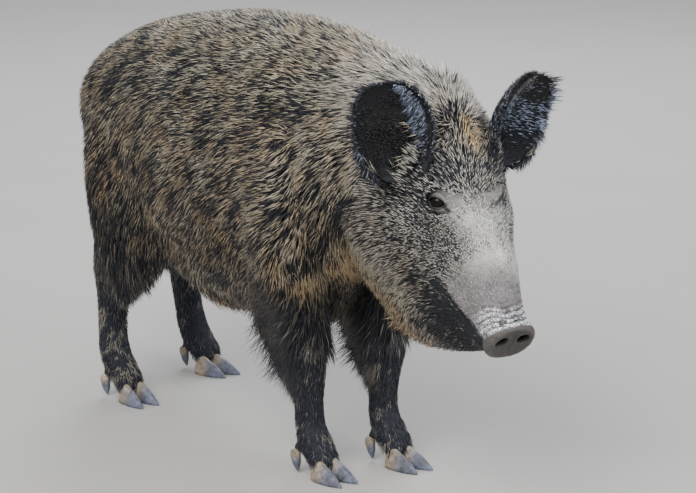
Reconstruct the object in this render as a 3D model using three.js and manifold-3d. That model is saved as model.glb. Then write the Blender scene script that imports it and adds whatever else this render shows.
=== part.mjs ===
// A standing wild boar sow in winter coat, life size, as a still model.
// Millimetres. +X is forward, +Y is the animal's left, +Z is up, and the floor is z = 0.
// Every outline is that of the coat's tips; the bare skin lies inside it.
import * as THREE from "three";
import { mergeVertices } from "three/addons/utils/BufferGeometryUtils.js";
import Module from "manifold-3d";

const wasm = await Module();
wasm.setup();

// ---------------------------------------------------------------- driving dimensions

const GAP = 0.4; // between pieces that touch
const EAR_GAP = 1.5; // round an ear's root
const EYE_RADIUS = 14;
const EAR_BASE = { x: 82, y: 106, z: 44 }; // in the head's frame
const EAR_SHAPE = {
  ...{ length: 152, halfWidth: 62, wall: 13, tipLean: 20 },
  ...{ widestAt: 0.52, baseShare: 0.6, closesAt: 0.985 },
  ...{ curlAtBase: 1.35, curlAtTip: 0.75, columns: 6, rows: 8 },
};
const EAR_POSE = {
  [-1]: { turn: 30, spread: 12, nod: -14 },
  [1]: { turn: 24, spread: 18, nod: 6 },
};
const NOSTRIL = { y: 17, half: 6, rise: 9, depth: 11, slant: 24 };
const CLAW = { length: 76, half: 15, height: 37, ahead: 54, apart: 15.8, splay: 3 };
const DEWCLAW = { length: 42, half: 10, height: 15, hang: 70, behind: 21, apart: 25, rise: 27, splay: 8 };
const LEG_LOFT = { around: 12, along: 1.6 };

// Where each foot stands: its fetlock over the floor, how many degrees it turns to the left,
// and how far the leg above it stands forward of its place in the table.
const FEET = {
  front_right: { x: 296, y: -88, toe: 9, ahead: 0 },
  front_left: { x: 320, y: 60, toe: 13, ahead: -4 },
  hind_right: { x: -290, y: -128, toe: 5, ahead: 4 },
  hind_left: { x: -358, y: 98, toe: 22, ahead: 0 },
};

// The head hangs from this point between the ear bases.
const HEAD = { x: 520, y: -8, z: 640, yaw: -6, pitch: 49 };

// A section's fields: its centre x, y, z; the pitch of the line it is carried along, where 0
// runs forward and 90 runs down; its reach above and below that centre (before and behind it
// on a leg); its half width; and the power of its rounding above and below, where 2 is an
// ellipse, less is more pointed and more is squarer.
const FIELDS = ["x", "y", "z", "pitch", "up", "down", "half", "roundUp", "roundDown"];

function sections(rows) {
  return rows.map((row) => Object.fromEntries(FIELDS.map((field, i) => [field, row[i]])));
}

// Buttocks to withers to the back of the head.
const TORSO = sections([
  [-444, 0, 560, -8, 96, 140, 106, 2.0, 2.0],
  [-384, 0, 556, -4, 142, 200, 150, 2.0, 2.1],
  [-276, 0, 545, -2, 196, 266, 170, 2.0, 2.2],
  [-130, 0, 530, 0, 244, 292, 184, 1.95, 2.2],
  [20, 0, 522, 0, 274, 300, 188, 1.9, 2.1],
  [160, 0, 524, 2, 280, 292, 180, 1.85, 2.0],
  [276, 0, 532, 8, 264, 284, 164, 1.85, 2.0],
  [376, -2, 540, 22, 242, 262, 156, 1.9, 2.0],
  [462, -5, 536, 36, 218, 240, 142, 2.0, 2.1],
  [520, -8, 520, 44, 138, 206, 120, 2.0, 2.1],
]);
const NECK_STARTS_AT = 6; // the section where trunk and neck part

// Poll to snout, in the head's own frame: x towards the snout, z towards the forehead.
const SKULL = sections([
  [-56, 0, -40, 0, 140, 190, 122, 1.8, 2.0],
  [0, 0, -44, 0, 144, 226, 138, 1.7, 1.9],
  [56, 0, -50, 0, 140, 246, 144, 1.7, 1.9],
  [106, 0, -50, 0, 124, 258, 134, 1.65, 1.8],
  [150, 0, -46, 0, 108, 264, 118, 1.65, 1.7],
  [200, 0, -38, 0, 84, 264, 96, 1.9, 1.6],
  [250, 0, -28, 0, 64, 248, 74, 2.3, 1.6],
  [300, 0, -20, 0, 52, 192, 56, 2.6, 1.7],
  [342, 0, -14, 0, 43, 120, 45, 2.6, 1.9],
  [366, 0, -10, 0, 40, 70, 41, 2.5, 2.1],
]);
const EYE = { x: 138, y: 57, z: 37 };
const NOSE = { x: 369, z: -8, lean: -16, length: 20, half: 46, up: 37, down: 36 };

// Shoulder to pastern, about the foot it ends in; x and y are offsets from that foot.
const FORELEG = sections([
  [-38, 37, 600, 84, 66, 74, 46, 2, 2],
  [-36, 41, 520, 88, 86, 96, 62, 2, 2],
  [-29, 40, 430, 88, 84, 96, 66, 2, 2],
  [-22, 26, 345, 88, 62, 136, 56, 2, 1.9],
  [-12, 13, 270, 88, 40, 170, 42, 2, 1.6],
  [-3, 6, 200, 88, 31, 138, 33, 2.2, 1.6],
  [-7, 2, 140, 90, 26, 46, 27, 2.2, 2.2],
  [-9, 0, 92, 84, 28, 32, 29, 2.2, 2.2],
  [4, 0, 62, 66, 27, 28, 33, 2.3, 2.3],
  [24, 0, 40, 54, 21, 22, 33, 2.4, 2.4],
  [40, 0, 24, 50, 13, 16, 29, 2.4, 2.4],
]);
const HINDLEG = sections([
  [-36, -8, 600, 84, 90, 30, 34, 2, 2],
  [-30, -8, 540, 88, 136, 54, 56, 2, 2],
  [-12, -6, 450, 92, 144, 72, 66, 2, 2],
  [-6, -8, 370, 98, 170, 80, 62, 2, 2],
  [-24, -9, 306, 104, 156, 60, 46, 1.7, 2],
  [-46, -8, 240, 98, 116, 42, 34, 1.6, 2.2],
  [-42, -6, 186, 87, 54, 36, 31, 1.8, 2.2],
  [-36, -2, 132, 85, 29, 32, 30, 2.2, 2.2],
  [-25, 0, 90, 81, 30, 33, 32, 2.2, 2.2],
  [-5, 0, 62, 65, 27, 28, 33, 2.3, 2.3],
  [22, 0, 40, 53, 21, 22, 33, 2.4, 2.4],
  [38, 0, 24, 49, 13, 16, 29, 2.4, 2.4],
]);
// The sections where a leg's named lengths part.
const FORELEG_PARTS = { shoulder: [0, 3.3], forearm: [3.3, 5.4], shank: [5.4, 10] };
const HINDLEG_PARTS = { thigh: [0, 3.5], gaskin: [3.5, 5.5], shank: [5.5, 11] };

const TAIL = sections([
  [-424, 8, 650, 150, 17, 17, 17, 2, 2],
  [-462, 18, 626, 122, 15, 15, 16, 2, 2],
  [-486, 28, 582, 100, 12, 12, 13, 2, 2],
  [-493, 35, 522, 92, 10, 10, 11, 2, 2],
  [-492, 39, 460, 90, 10, 10, 11, 2, 2],
  [-490, 41, 407, 89, 17, 17, 19, 2, 2],
  [-488, 42, 354, 88, 15, 15, 17, 2, 2],
  [-486, 42, 314, 88, 5, 5, 6, 2, 2],
]);
const TAIL_TUFT_STARTS_AT = 4.2;

// Rises and hollows of the face: place in the head's frame, radius, and height of each.
const FACE_FORMS = [
  { x: 138, y: 66, z: 36, radius: 24, height: -4 }, // eye socket
  { x: 120, y: 52, z: 68, radius: 26, height: 7 }, // brow
  { x: 150, y: 92, z: -20, radius: 34, height: 6 }, // cheekbone
  { x: 120, y: 110, z: -120, radius: 70, height: 14 }, // ruff of the jowl
  { x: 215, y: 60, z: 4, radius: 34, height: -6 }, // hollow before the eye
  { x: 292, y: 50, z: -40, radius: 26, height: 6 }, // lip over the canine
];

// ---------------------------------------------------------------- geometry tools

const DEGREES = THREE.MathUtils.degToRad;

// Each field of the sections at t, counted in sections, along a Catmull-Rom spline.
function sectionAt(list, t) {
  const last = list.length - 1;
  const i = Math.min(Math.floor(t), last - 1);
  const s = t - i;
  const near = (k) => list[THREE.MathUtils.clamp(k, 0, last)];
  const made = {};
  for (const field of FIELDS) {
    const [a, b, c, d] = [near(i - 1)[field], near(i)[field], near(i + 1)[field], near(i + 2)[field]];
    const bend = (2 * a - 5 * b + 4 * c - d) * s ** 2 + (3 * b - a - 3 * c + d) * s ** 3;
    made[field] = (2 * b + (c - a) * s + bend) / 2;
  }
  return made;
}

// The points of one section: an oval whose four quarters share the half width.
function ringOf(section, around, share = 1, ahead = 0) {
  const pitch = DEGREES(section.pitch);
  const forward = new THREE.Vector3(Math.cos(pitch), 0, -Math.sin(pitch));
  const up = new THREE.Vector3(Math.sin(pitch), 0, Math.cos(pitch));
  const centre = new THREE.Vector3(section.x, section.y, section.z).addScaledVector(forward, ahead);
  return Array.from({ length: around }, (_, k) => {
    const turn = (2 * Math.PI * k) / around;
    const [c, s] = [Math.cos(turn), Math.sin(turn)];
    const reach = c >= 0 ? section.up : section.down;
    const power = 2 / (c >= 0 ? section.roundUp : section.roundDown);
    const across = section.half * Math.sign(s) * Math.abs(s) ** power * share;
    const rise = reach * Math.sign(c) * Math.abs(c) ** power * share;
    return centre.clone().addScaledVector(up, rise).add(new THREE.Vector3(0, across, 0));
  });
}

// A closed skin over rings of points that follow each other. Each end is capped by a strip
// that joins every point of its ring to the one across from it.
function skinOver(rings) {
  const around = rings[0].length;
  const lastRing = (rings.length - 1) * around;
  const faces = [];
  for (let k = 0; k < around; k++) {
    const next = (k + 1) % around;
    for (let r = 0; r < lastRing; r += around) {
      const [a, b] = [r + k, r + next];
      faces.push(a, a + around, b + around, a, b + around, b);
    }
  }
  for (let k = 0; k < around / 2 - 1; k++) {
    const [a, b, c, d] = [k, k + 1, around - 2 - k, around - 1 - k];
    faces.push(a, b, c, a, c, d);
    faces.push(...[c, b, a, d, c, a].map((point) => point + lastRing));
  }
  const geometry = new THREE.BufferGeometry().setFromPoints(rings.flat());
  geometry.setIndex(faces);
  return geometry;
}

// Sections carried from one place in a list to another. A dome closes an end roundly over its
// length, and grow makes the whole that much larger, for a tool that leaves a gap.
function loft(list, { from = 0, to = list.length - 1, around = 20, along = 2, ...rest } = {}) {
  const { startDome = 0, endDome = 0, grow = 0 } = rest;
  const grown = (section) => ({
    ...section,
    up: section.up + grow,
    down: section.down + grow,
    half: section.half + grow,
  });
  const steps = Math.max(1, Math.round((to - from) * along));
  const first = grown(sectionAt(list, from));
  const last = grown(sectionAt(list, to));
  const dome = (section, length) =>
    [0.98, 0.85, 0.5].map((s) => ringOf(section, around, Math.sqrt(1 - s * s), s * length));
  const rings = [];
  if (startDome) rings.push(...dome(first, -startDome - grow));
  else rings.push(ringOf(first, around, 1, -grow));
  for (let i = startDome ? 0 : 1; i < (endDome ? steps + 1 : steps); i++) {
    rings.push(ringOf(grown(sectionAt(list, from + ((to - from) * i) / steps)), around));
  }
  if (endDome) rings.push(...dome(last, endDome + grow).reverse());
  else rings.push(ringOf(last, around, 1, grow));
  return skinOver(rings);
}

// Sections with their places moved to a foot, on the side that foot is on.
function legOver(list, foot) {
  const side = Math.sign(foot.y);
  return list.map((section) => ({
    ...section,
    x: section.x + foot.x + foot.ahead * Math.min(1, Math.max(0, (section.z - 40) / 90)),
    y: foot.y + side * section.y,
  }));
}

function headMatrix() {
  const turn = new THREE.Matrix4().makeRotationZ(DEGREES(HEAD.yaw));
  turn.multiply(new THREE.Matrix4().makeRotationY(DEGREES(HEAD.pitch)));
  return turn.setPosition(HEAD.x, HEAD.y, HEAD.z);
}

// Pushes a geometry's points along their normals, by a bell around each form on both sides.
function modelForms(geometry, forms) {
  geometry.computeVertexNormals();
  const [place, normal] = [geometry.attributes.position, geometry.attributes.normal];
  const p = new THREE.Vector3();
  const n = new THREE.Vector3();
  for (let i = 0; i < place.count; i++) {
    p.fromBufferAttribute(place, i);
    n.fromBufferAttribute(normal, i);
    let push = 0;
    for (const { x, y, z, radius, height } of forms) {
      const away = (p.x - x) ** 2 + (Math.abs(p.y) - y) ** 2 + (p.z - z) ** 2;
      push += height * Math.exp(-away / radius ** 2);
    }
    p.addScaledVector(n, push);
    place.setXYZ(i, p.x, p.y, p.z);
  }
  return geometry;
}

function solidOf(geometry) {
  const bare = geometry.clone();
  bare.deleteAttribute("normal");
  bare.deleteAttribute("uv");
  const merged = mergeVertices(bare, 1e-3);
  const vertProperties = new Float32Array(merged.attributes.position.array);
  const triVerts = new Uint32Array(merged.index.array);
  return new wasm.Manifold(new wasm.Mesh({ numProp: 3, vertProperties, triVerts }));
}

function geometryOf(solid) {
  const mesh = solid.getMesh();
  const geometry = new THREE.BufferGeometry();
  geometry.setAttribute("position", new THREE.BufferAttribute(mesh.vertProperties, 3));
  geometry.setIndex(new THREE.BufferAttribute(mesh.triVerts, 1));
  const faceted = geometry.toNonIndexed();
  faceted.computeVertexNormals();
  return faceted;
}

// What is left of a solid beside its neighbours: its largest body.
function without(solid, tools) {
  const left = tools.reduce((rest, tool) => rest.subtract(tool), solid).decompose();
  return left.reduce((a, b) => (a.volume() >= b.volume() ? a : b));
}

// ---------------------------------------------------------------- the pieces

const MATERIALS = {
  coat: new THREE.MeshStandardMaterial({ color: 0x6b5d4b, roughness: 0.9 }),
  darkCoat: new THREE.MeshStandardMaterial({ color: 0x24211f, roughness: 0.9 }),
  faceCoat: new THREE.MeshStandardMaterial({ color: 0x8a847c, roughness: 0.85 }),
  noseSkin: new THREE.MeshStandardMaterial({ color: 0x5a5049, roughness: 0.6 }),
  horn: new THREE.MeshStandardMaterial({ color: 0x8f8a86, roughness: 0.55 }),
  eye: new THREE.MeshStandardMaterial({ color: 0x140f0d, roughness: 0.08 }),
};

const boar = new THREE.Group();

function add(name, geometry, material) {
  const mesh = new THREE.Mesh(geometry, material);
  mesh.name = name;
  boar.add(mesh);
}

function skullSolid(grow = 0) {
  const geometry = loft(SKULL, { around: 22, along: 1.5, startDome: 30, grow });
  return solidOf(modelForms(geometry, FACE_FORMS).applyMatrix4(headMatrix()));
}

function eyeSolid(side, grow = 0) {
  const ball = new THREE.SphereGeometry(EYE_RADIUS + grow, 12, 6);
  ball.rotateX(Math.PI / 2);
  ball.translate(EYE.x, side * (EYE.y - 0.15 * EYE_RADIUS), EYE.z);
  return solidOf(ball.applyMatrix4(headMatrix()));
}

// A cupped leaf that stands on its base and opens along +X. Each of its rows is an arc, curled
// tightest at the base; the wall behind it thins towards the rim and the tip.
function earSolid(side, grow = 0) {
  const { length, halfWidth, wall, curlAtBase, curlAtTip, columns, rows } = EAR_SHAPE;
  const rings = [];
  for (let i = 0; i <= rows; i++) {
    const s = (i / rows) * EAR_SHAPE.closesAt;
    const curl = THREE.MathUtils.lerp(curlAtBase, curlAtTip, s);
    const radius = (halfWidth * earOutline(s)) / Math.sin(curl);
    const reach = curl + grow / radius;
    const rise = s * length + (i === 0 ? -grow : 0) + (i === rows ? grow : 0);
    const point = (t, behind) => {
      const back = (radius + behind) * Math.cos(t * reach) - radius * Math.cos(curl);
      const across = (radius + behind) * Math.sin(t * reach);
      return new THREE.Vector3(EAR_SHAPE.tipLean * s * s - back, across, rise);
    };
    const turns = Array.from({ length: columns + 1 }, (_, j) => 1 - (2 * j) / columns);
    const front = turns.map((t) => point(t, -grow));
    const thick = wall * (1 - 0.5 * s) + grow;
    const behind = turns.map((t) => point(-t, thick * (1 - 0.45 * t * t)));
    rings.push([...front, ...behind]);
  }
  const place = new THREE.Matrix4().makeRotationZ(DEGREES(HEAD.yaw + side * EAR_POSE[side].turn));
  place.multiply(new THREE.Matrix4().makeRotationX(DEGREES(-side * EAR_POSE[side].spread)));
  place.multiply(new THREE.Matrix4().makeRotationY(DEGREES(EAR_POSE[side].nod)));
  const base = new THREE.Vector3(EAR_BASE.x, side * EAR_BASE.y, EAR_BASE.z);
  return solidOf(skinOver(rings).applyMatrix4(place.setPosition(base.applyMatrix4(headMatrix()))));
}

// An ear's half width along its length, as a share of the widest: it swells from the base to
// its widest place and closes from there in a round tip.
function earOutline(s) {
  const { widestAt, baseShare } = EAR_SHAPE;
  if (s < widestAt) {
    return baseShare + (1 - baseShare) * Math.sin((Math.PI / 2) * (s / widestAt));
  }
  return Math.sqrt(1 - ((s - widestAt) / (1 - widestAt)) ** 2.3);
}

// The flat disc of the snout, with its two nostrils, over the end of the muzzle.
function noseSolid(grow = 0) {
  const { x, z, half, up, down, length, lean } = NOSE;
  const disc = [0, length * 0.45, length].map((ahead, i) => ({
    ...SKULL.at(-1),
    ...{ x: x + ahead, z, pitch: 0, roundUp: 2.3, roundDown: 2.3 },
    ...{ half: half - 3 * (i !== 1), up: up - 3 * (i !== 1), down: down - 3 * (i !== 1) },
  }));
  const tilt = new THREE.Matrix4().makeTranslation(x, 0, z);
  tilt.multiply(new THREE.Matrix4().makeRotationY(DEGREES(lean)));
  tilt.multiply(new THREE.Matrix4().makeTranslation(-x, 0, -z));
  const made = loft(disc, { around: 14, along: 1, endDome: 4, grow }).applyMatrix4(tilt);
  const nostrils = [-1, 1].map((side) => {
    const hole = new THREE.SphereGeometry(1, 8, 6);
    hole.scale(NOSTRIL.depth, NOSTRIL.half, NOSTRIL.rise);
    hole.rotateX(DEGREES(side * NOSTRIL.slant));
    hole.translate(x + length + 2, side * NOSTRIL.y, z);
    return solidOf(hole.applyMatrix4(tilt).applyMatrix4(headMatrix()));
  });
  const whole = solidOf(made.applyMatrix4(headMatrix()));
  return grow ? whole : without(whole, nostrils);
}

// A pointed horn shoe: flat below, steepest behind, and drawn out to a low tip. Each row of
// the profile is a place along it with the shares of its width and height there.
const SHOE_PROFILE = [
  [0, 0.62, 0.86],
  [0.26, 1, 1],
  [0.68, 0.8, 0.56],
  [1, 0.16, 0.1],
];
const SHOE_SECTION = [[0.9, 0], [1, 0.24], [0.84, 0.7], [0.34, 1]];
function clawGeometry({ length, half, height }, grow = 0) {
  const rings = SHOE_PROFILE.map(([along, wide, tall]) => {
    const side = SHOE_SECTION.map(([across, rise]) => [across * wide * half, rise * tall * height]);
    const ring = [...side, ...side.map(([y, z]) => [-y, z]).reverse()];
    return ring.map(([y, z]) => new THREE.Vector3((along - 0.4) * length, -y, z));
  });
  const share = (size) => (size + 2 * grow) / size;
  return skinOver(rings).scale(share(length), share(2 * half), share(height)).translate(0, 0, -grow);
}

// Adds the four claws of a foot, and gives the tools that leave room for them.
function clawsOf(foot, { x, y, toe }) {
  return [["inner", -Math.sign(y)], ["outer", Math.sign(y)]].flatMap(([name, side]) => {
    const claw = (grow) => {
      const shoe = clawGeometry(CLAW, grow);
      shoe.rotateZ(DEGREES(toe + side * CLAW.splay));
      return shoe.translate(x + CLAW.ahead, y + side * CLAW.apart, 0);
    };
    const dewclaw = (grow) => {
      const shoe = clawGeometry(DEWCLAW, grow);
      shoe.rotateY(DEGREES(DEWCLAW.hang)).rotateZ(DEGREES(toe + side * DEWCLAW.splay));
      return shoe.translate(x - DEWCLAW.behind, y + side * DEWCLAW.apart, DEWCLAW.rise);
    };
    add(`claw_${foot}_${name}`, claw(0), MATERIALS.horn);
    add(`dewclaw_${foot}_${name}`, dewclaw(0), MATERIALS.horn);
    return [solidOf(claw(GAP)), solidOf(dewclaw(GAP))];
  });
}

// ---------------------------------------------------------------- putting it together

const SIDES = { right: -1, left: 1 };
const legs = Object.entries(FEET).map(([foot, place]) => {
  const hind = foot.startsWith("hind");
  const list = legOver(hind ? HINDLEG : FORELEG, place);
  const part = (from, to, grow = 0) =>
    loft(list, { ...LEG_LOFT, from: from ? from + GAP / 100 : 0, to, startDome: from ? 0 : 40, grow });
  const parts = Object.entries(hind ? HINDLEG_PARTS : FORELEG_PARTS);
  return { foot, place, part, parts };
});
const legTools = legs.flatMap(({ part, parts }) =>
  parts.slice(0, 2).map(([, [from, to]]) => solidOf(part(from, to, GAP))));
const headTools = [skullSolid(GAP)];
const earTools = Object.values(SIDES).map((side) => earSolid(side, EAR_GAP));

const neckStart = NECK_STARTS_AT + GAP / 200;
const trunk = loft(TORSO, { to: NECK_STARTS_AT, around: 26, along: 1.5, startDome: 46 });
const neck = loft(TORSO, { from: neckStart, around: 28, along: 1.5, endDome: 30 });
const tailPart = (from, to, grow = 0) => loft(TAIL, { from, to, around: 8, grow });
const tailTools = [solidOf(tailPart(0, TAIL_TUFT_STARTS_AT, GAP))];

add("trunk", geometryOf(without(solidOf(trunk), [...legTools, ...tailTools])), MATERIALS.coat);
const neckLeft = without(solidOf(neck), [...legTools, ...headTools, ...earTools]);
add("neck", geometryOf(neckLeft), MATERIALS.coat);

for (const { foot, place, part, parts } of legs) {
  const claws = clawsOf(foot, place);
  for (const [name, [from, to]] of parts) {
    const solid = solidOf(part(from, to));
    const tools = { shank: claws, shoulder: headTools }[name] ?? [];
    const left = without(solid, tools);
    add(`${name}_${foot}`, geometryOf(left), MATERIALS.darkCoat);
  }
}

const eyeTools = Object.values(SIDES).map((side) => eyeSolid(side, GAP));
add("head", geometryOf(without(skullSolid(), [...earTools, ...eyeTools, noseSolid(GAP)])), MATERIALS.faceCoat);
add("snout_disc", geometryOf(noseSolid()), MATERIALS.noseSkin);
for (const [name, side] of Object.entries(SIDES)) {
  add(`ear_${name}`, geometryOf(earSolid(side)), MATERIALS.darkCoat);
  add(`eye_${name}`, geometryOf(eyeSolid(side)), MATERIALS.eye);
}
add("tail", tailPart(0, TAIL_TUFT_STARTS_AT), MATERIALS.darkCoat);
add("tail_tuft", tailPart(TAIL_TUFT_STARTS_AT + GAP / 50, TAIL.length - 1), MATERIALS.darkCoat);

// The origin is under the middle of the whole.
const bounds = new THREE.Box3().setFromObject(boar);
const middle = bounds.getCenter(new THREE.Vector3());
for (const mesh of boar.children) mesh.geometry.translate(-middle.x, -middle.y, -bounds.min.z);

export default boar;
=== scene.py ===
"""The looks of a standing wild boar sow in winter coat: one skin, solid tufts of hair over it,
glossy eyes and horn hooves, on a plain studio floor. Metres; +X forward, +Y left, +Z up.
"""

import math

import bmesh
import bpy
import numpy as np
from bpy.props import FloatProperty, FloatVectorProperty, PointerProperty
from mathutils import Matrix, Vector


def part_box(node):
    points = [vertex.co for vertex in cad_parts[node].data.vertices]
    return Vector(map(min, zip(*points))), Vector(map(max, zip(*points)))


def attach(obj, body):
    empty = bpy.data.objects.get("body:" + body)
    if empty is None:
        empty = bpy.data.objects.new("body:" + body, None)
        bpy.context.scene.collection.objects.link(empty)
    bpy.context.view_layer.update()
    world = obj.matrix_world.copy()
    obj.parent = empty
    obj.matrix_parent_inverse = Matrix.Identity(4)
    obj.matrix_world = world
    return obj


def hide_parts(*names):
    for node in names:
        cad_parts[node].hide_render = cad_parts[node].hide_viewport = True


bl_info = {
    "name": "Wild boar coat",
    "version": (1, 0, 0),
    "blender": (4, 5, 0),
    "location": "3D View > Sidebar > Boar",
    "description": "Skin, coat, eyes and hooves of a standing wild boar",
    "category": "Object",
}

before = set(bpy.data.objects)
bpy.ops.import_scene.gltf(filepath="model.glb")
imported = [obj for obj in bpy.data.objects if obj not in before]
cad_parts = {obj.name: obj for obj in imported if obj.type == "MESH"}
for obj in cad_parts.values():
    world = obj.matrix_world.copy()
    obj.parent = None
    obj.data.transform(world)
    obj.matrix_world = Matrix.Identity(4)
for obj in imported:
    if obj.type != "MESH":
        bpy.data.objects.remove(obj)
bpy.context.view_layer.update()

# ------------------------------------------------------------------ measures of the animal

MM = 0.001
FULL_TURN = 2 * math.pi

# Columns of a section: centre x, y, z; pitch of the line it is carried along, where 0 runs
# forward and 90 runs down; reach above and below the centre (before and behind it on a leg);
# half width; rounding above and below, where 2 is an ellipse; and then how deep the coat is
# above, below and at the side. Millimetres and degrees.
TORSO = [
    (-444, 0, 560, -8, 96, 140, 106, 2.0, 2.0, 16, 18, 14),
    (-384, 0, 556, -4, 142, 200, 150, 2.0, 2.1, 16, 18, 15),
    (-276, 0, 545, -2, 196, 266, 170, 2.0, 2.2, 18, 24, 16),
    (-130, 0, 530, 0, 244, 292, 184, 1.95, 2.2, 20, 30, 17),
    (20, 0, 522, 0, 274, 300, 188, 1.9, 2.1, 22, 34, 18),
    (160, 0, 524, 2, 280, 292, 180, 1.85, 2.0, 24, 34, 19),
    (276, 0, 532, 8, 264, 284, 164, 1.85, 2.0, 26, 36, 22),
    (376, -2, 540, 22, 242, 262, 156, 1.9, 2.0, 26, 38, 25),
    (462, -5, 536, 36, 218, 240, 142, 2.0, 2.1, 24, 40, 26),
    (520, -8, 520, 44, 138, 206, 120, 2.0, 2.1, 20, 40, 26),
]
SKULL = [
    (-56, 0, -40, 0, 140, 190, 122, 1.8, 2.0, 20, 34, 24),
    (0, 0, -44, 0, 144, 226, 138, 1.7, 1.9, 18, 36, 24),
    (56, 0, -50, 0, 140, 246, 144, 1.7, 1.9, 14, 38, 22),
    (106, 0, -50, 0, 124, 258, 134, 1.65, 1.8, 10, 38, 17),
    (150, 0, -46, 0, 108, 264, 118, 1.65, 1.7, 6, 38, 11),
    (200, 0, -38, 0, 84, 264, 96, 1.9, 1.6, 4, 38, 8),
    (250, 0, -28, 0, 64, 248, 74, 2.3, 1.6, 3, 38, 5),
    (300, 0, -20, 0, 52, 192, 56, 2.6, 1.7, 2.5, 32, 3.5),
    (342, 0, -14, 0, 43, 120, 45, 2.6, 1.9, 2, 18, 3),
    (366, 0, -10, 0, 40, 70, 41, 2.5, 2.1, 2, 12, 2),
]
FORELEG = [
    (-38, 37, 600, 84, 66, 74, 46, 2, 2, 18, 18, 18),
    (-36, 41, 520, 88, 86, 96, 62, 2, 2, 18, 20, 18),
    (-29, 40, 430, 88, 84, 96, 66, 2, 2, 18, 24, 16),
    (-22, 26, 345, 88, 62, 136, 56, 2, 1.9, 12, 36, 12),
    (-12, 13, 270, 88, 40, 170, 42, 2, 1.6, 7, 60, 8),
    (-3, 6, 200, 88, 31, 138, 33, 2.2, 1.6, 5, 62, 5),
    (-7, 2, 140, 90, 26, 46, 27, 2.2, 2.2, 4, 14, 4),
    (-9, 0, 92, 84, 28, 32, 29, 2.2, 2.2, 4, 4, 4),
    (4, 0, 62, 66, 27, 28, 33, 2.3, 2.3, 3, 3, 3),
    (24, 0, 40, 54, 21, 22, 33, 2.4, 2.4, 3, 3, 3),
    (40, 0, 24, 50, 13, 16, 29, 2.4, 2.4, 2, 2, 2),
]
HINDLEG = [
    (-36, -8, 600, 84, 90, 30, 34, 2, 2, 16, 14, 16),
    (-30, -8, 540, 88, 136, 54, 56, 2, 2, 18, 16, 18),
    (-12, -6, 450, 92, 144, 72, 66, 2, 2, 18, 16, 16),
    (-6, -8, 370, 98, 170, 80, 62, 2, 2, 22, 16, 14),
    (-24, -9, 306, 104, 156, 60, 46, 1.7, 2, 36, 12, 10),
    (-46, -8, 240, 98, 116, 42, 34, 1.6, 2.2, 44, 7, 7),
    (-42, -6, 186, 87, 54, 36, 31, 1.8, 2.2, 20, 6, 6),
    (-36, -2, 132, 85, 29, 32, 30, 2.2, 2.2, 4, 4, 4),
    (-25, 0, 90, 81, 30, 33, 32, 2.2, 2.2, 4, 4, 4),
    (-5, 0, 62, 65, 27, 28, 33, 2.3, 2.3, 3, 3, 3),
    (22, 0, 40, 53, 21, 22, 33, 2.4, 2.4, 3, 3, 3),
    (38, 0, 24, 49, 13, 16, 29, 2.4, 2.4, 2, 2, 2),
]
TAIL = [
    (-424, 8, 650, 150, 17, 17, 17, 2, 2, 6, 6, 6),
    (-462, 18, 626, 122, 15, 15, 16, 2, 2, 5, 5, 5),
    (-486, 28, 582, 100, 12, 12, 13, 2, 2, 4, 4, 4),
    (-493, 35, 522, 92, 10, 10, 11, 2, 2, 4, 4, 4),
    (-492, 39, 460, 90, 10, 10, 11, 2, 2, 4, 4, 4),
    (-490, 41, 407, 89, 17, 17, 19, 2, 2, 10, 10, 12),
    (-488, 42, 354, 88, 15, 15, 17, 2, 2, 9, 9, 11),
    (-486, 42, 314, 88, 5, 5, 6, 2, 2, 2, 2, 3),
]
# Each foot: x, y, the toes' turn, and how far the leg above it stands ahead.
FEET = {
    "front_right": (296, -88, 9, 0),
    "front_left": (320, 60, 13, -4),
    "hind_right": (-290, -128, 5, 4),
    "hind_left": (-358, 98, 22, 0),
}
HEAD = {"x": 520, "y": -8, "z": 640, "yaw": -6, "pitch": 49}
EYE = {"x": 138, "y": 57, "z": 37, "radius": 14, "sunk": 0.15}
# The oval pupil's reach along the lids and across them, as shares of the eyeball's radius.
PUPIL = (0.42, 0.26)
LIDS = {"half": 15.0, "top": 9.2, "bottom": 7.2}
# Folds above and below the eye's opening: the height, place and half width of each.
LID_FOLDS = {
    "above": ((1.0, 4.0, 2.2), (-2.2, 7.5, 1.4), (1.8, 10.5, 2.4)),
    "below": ((-1.3, 4.5, 1.1), (1.2, 7.0, 2.0), (-1.0, 10.5, 1.5)),
}
NOSE = {"x": 369, "z": -8, "lean": -16, "length": 20, "half": 46, "up": 37, "down": 36}
NOSTRIL = {"y": 21, "z": 6, "half": 11.0, "rise": 9.5, "depth": 17}
NOSTRIL_SLANT = {-1: 24, 1: -8}
EAR = dict(
    x=82, y=106, z=44, length=152, half=62, wall=13, coat=3.5, tip_lean=20,
    widest_at=0.52, base_share=0.6, closes_at=0.985, curl_at_base=1.35, curl_at_tip=0.75,
)
# Which side, and the turn, spread and nod of each ear; and the painted light on its inner hair:
# much painted sheen on the left ear, which faces the light, and painted shade in the right one.
EAR_POSE = {"right": (-1, 30, 12, -14), "left": (1, 24, 18, 6)}
EAR_PAINTED_LIGHT = {"right": 0.05, "left": 0.72}
CLAW = {"length": 76, "half": 15, "height": 37, "ahead": 54, "apart": 15.8, "splay": 3}
DEWCLAW = dict(length=42, half=10, height=15, hang=70, behind=21, apart=25, rise=27, splay=8)

# Rises and hollows of the head: x, y, z, radius and height of each, in the head's frame.
FACE_FORMS = [
    (138, 66, 36, 24, -4),
    (120, 52, 68, 26, 7),
    (150, 92, -20, 34, 6),
    (120, 110, -120, 70, 14),
    (215, 60, 4, 34, -6),
    (292, 50, -40, 26, 6),
]

# The solids of each kind of leg, and where its dark coat lies, in metres: how far ahead of the
# foot its middle is, its half width, the height it starts below and over how much it fades in.
LEG_PARTS = {"front": ("shoulder", "forearm", "shank"), "hind": ("thigh", "gaskin", "shank")}
LEG_COAT = {"front": (-0.02, 0.125, 0.405, 0.08), "hind": (0.035, 0.105, 0.52, 0.16)}

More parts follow.
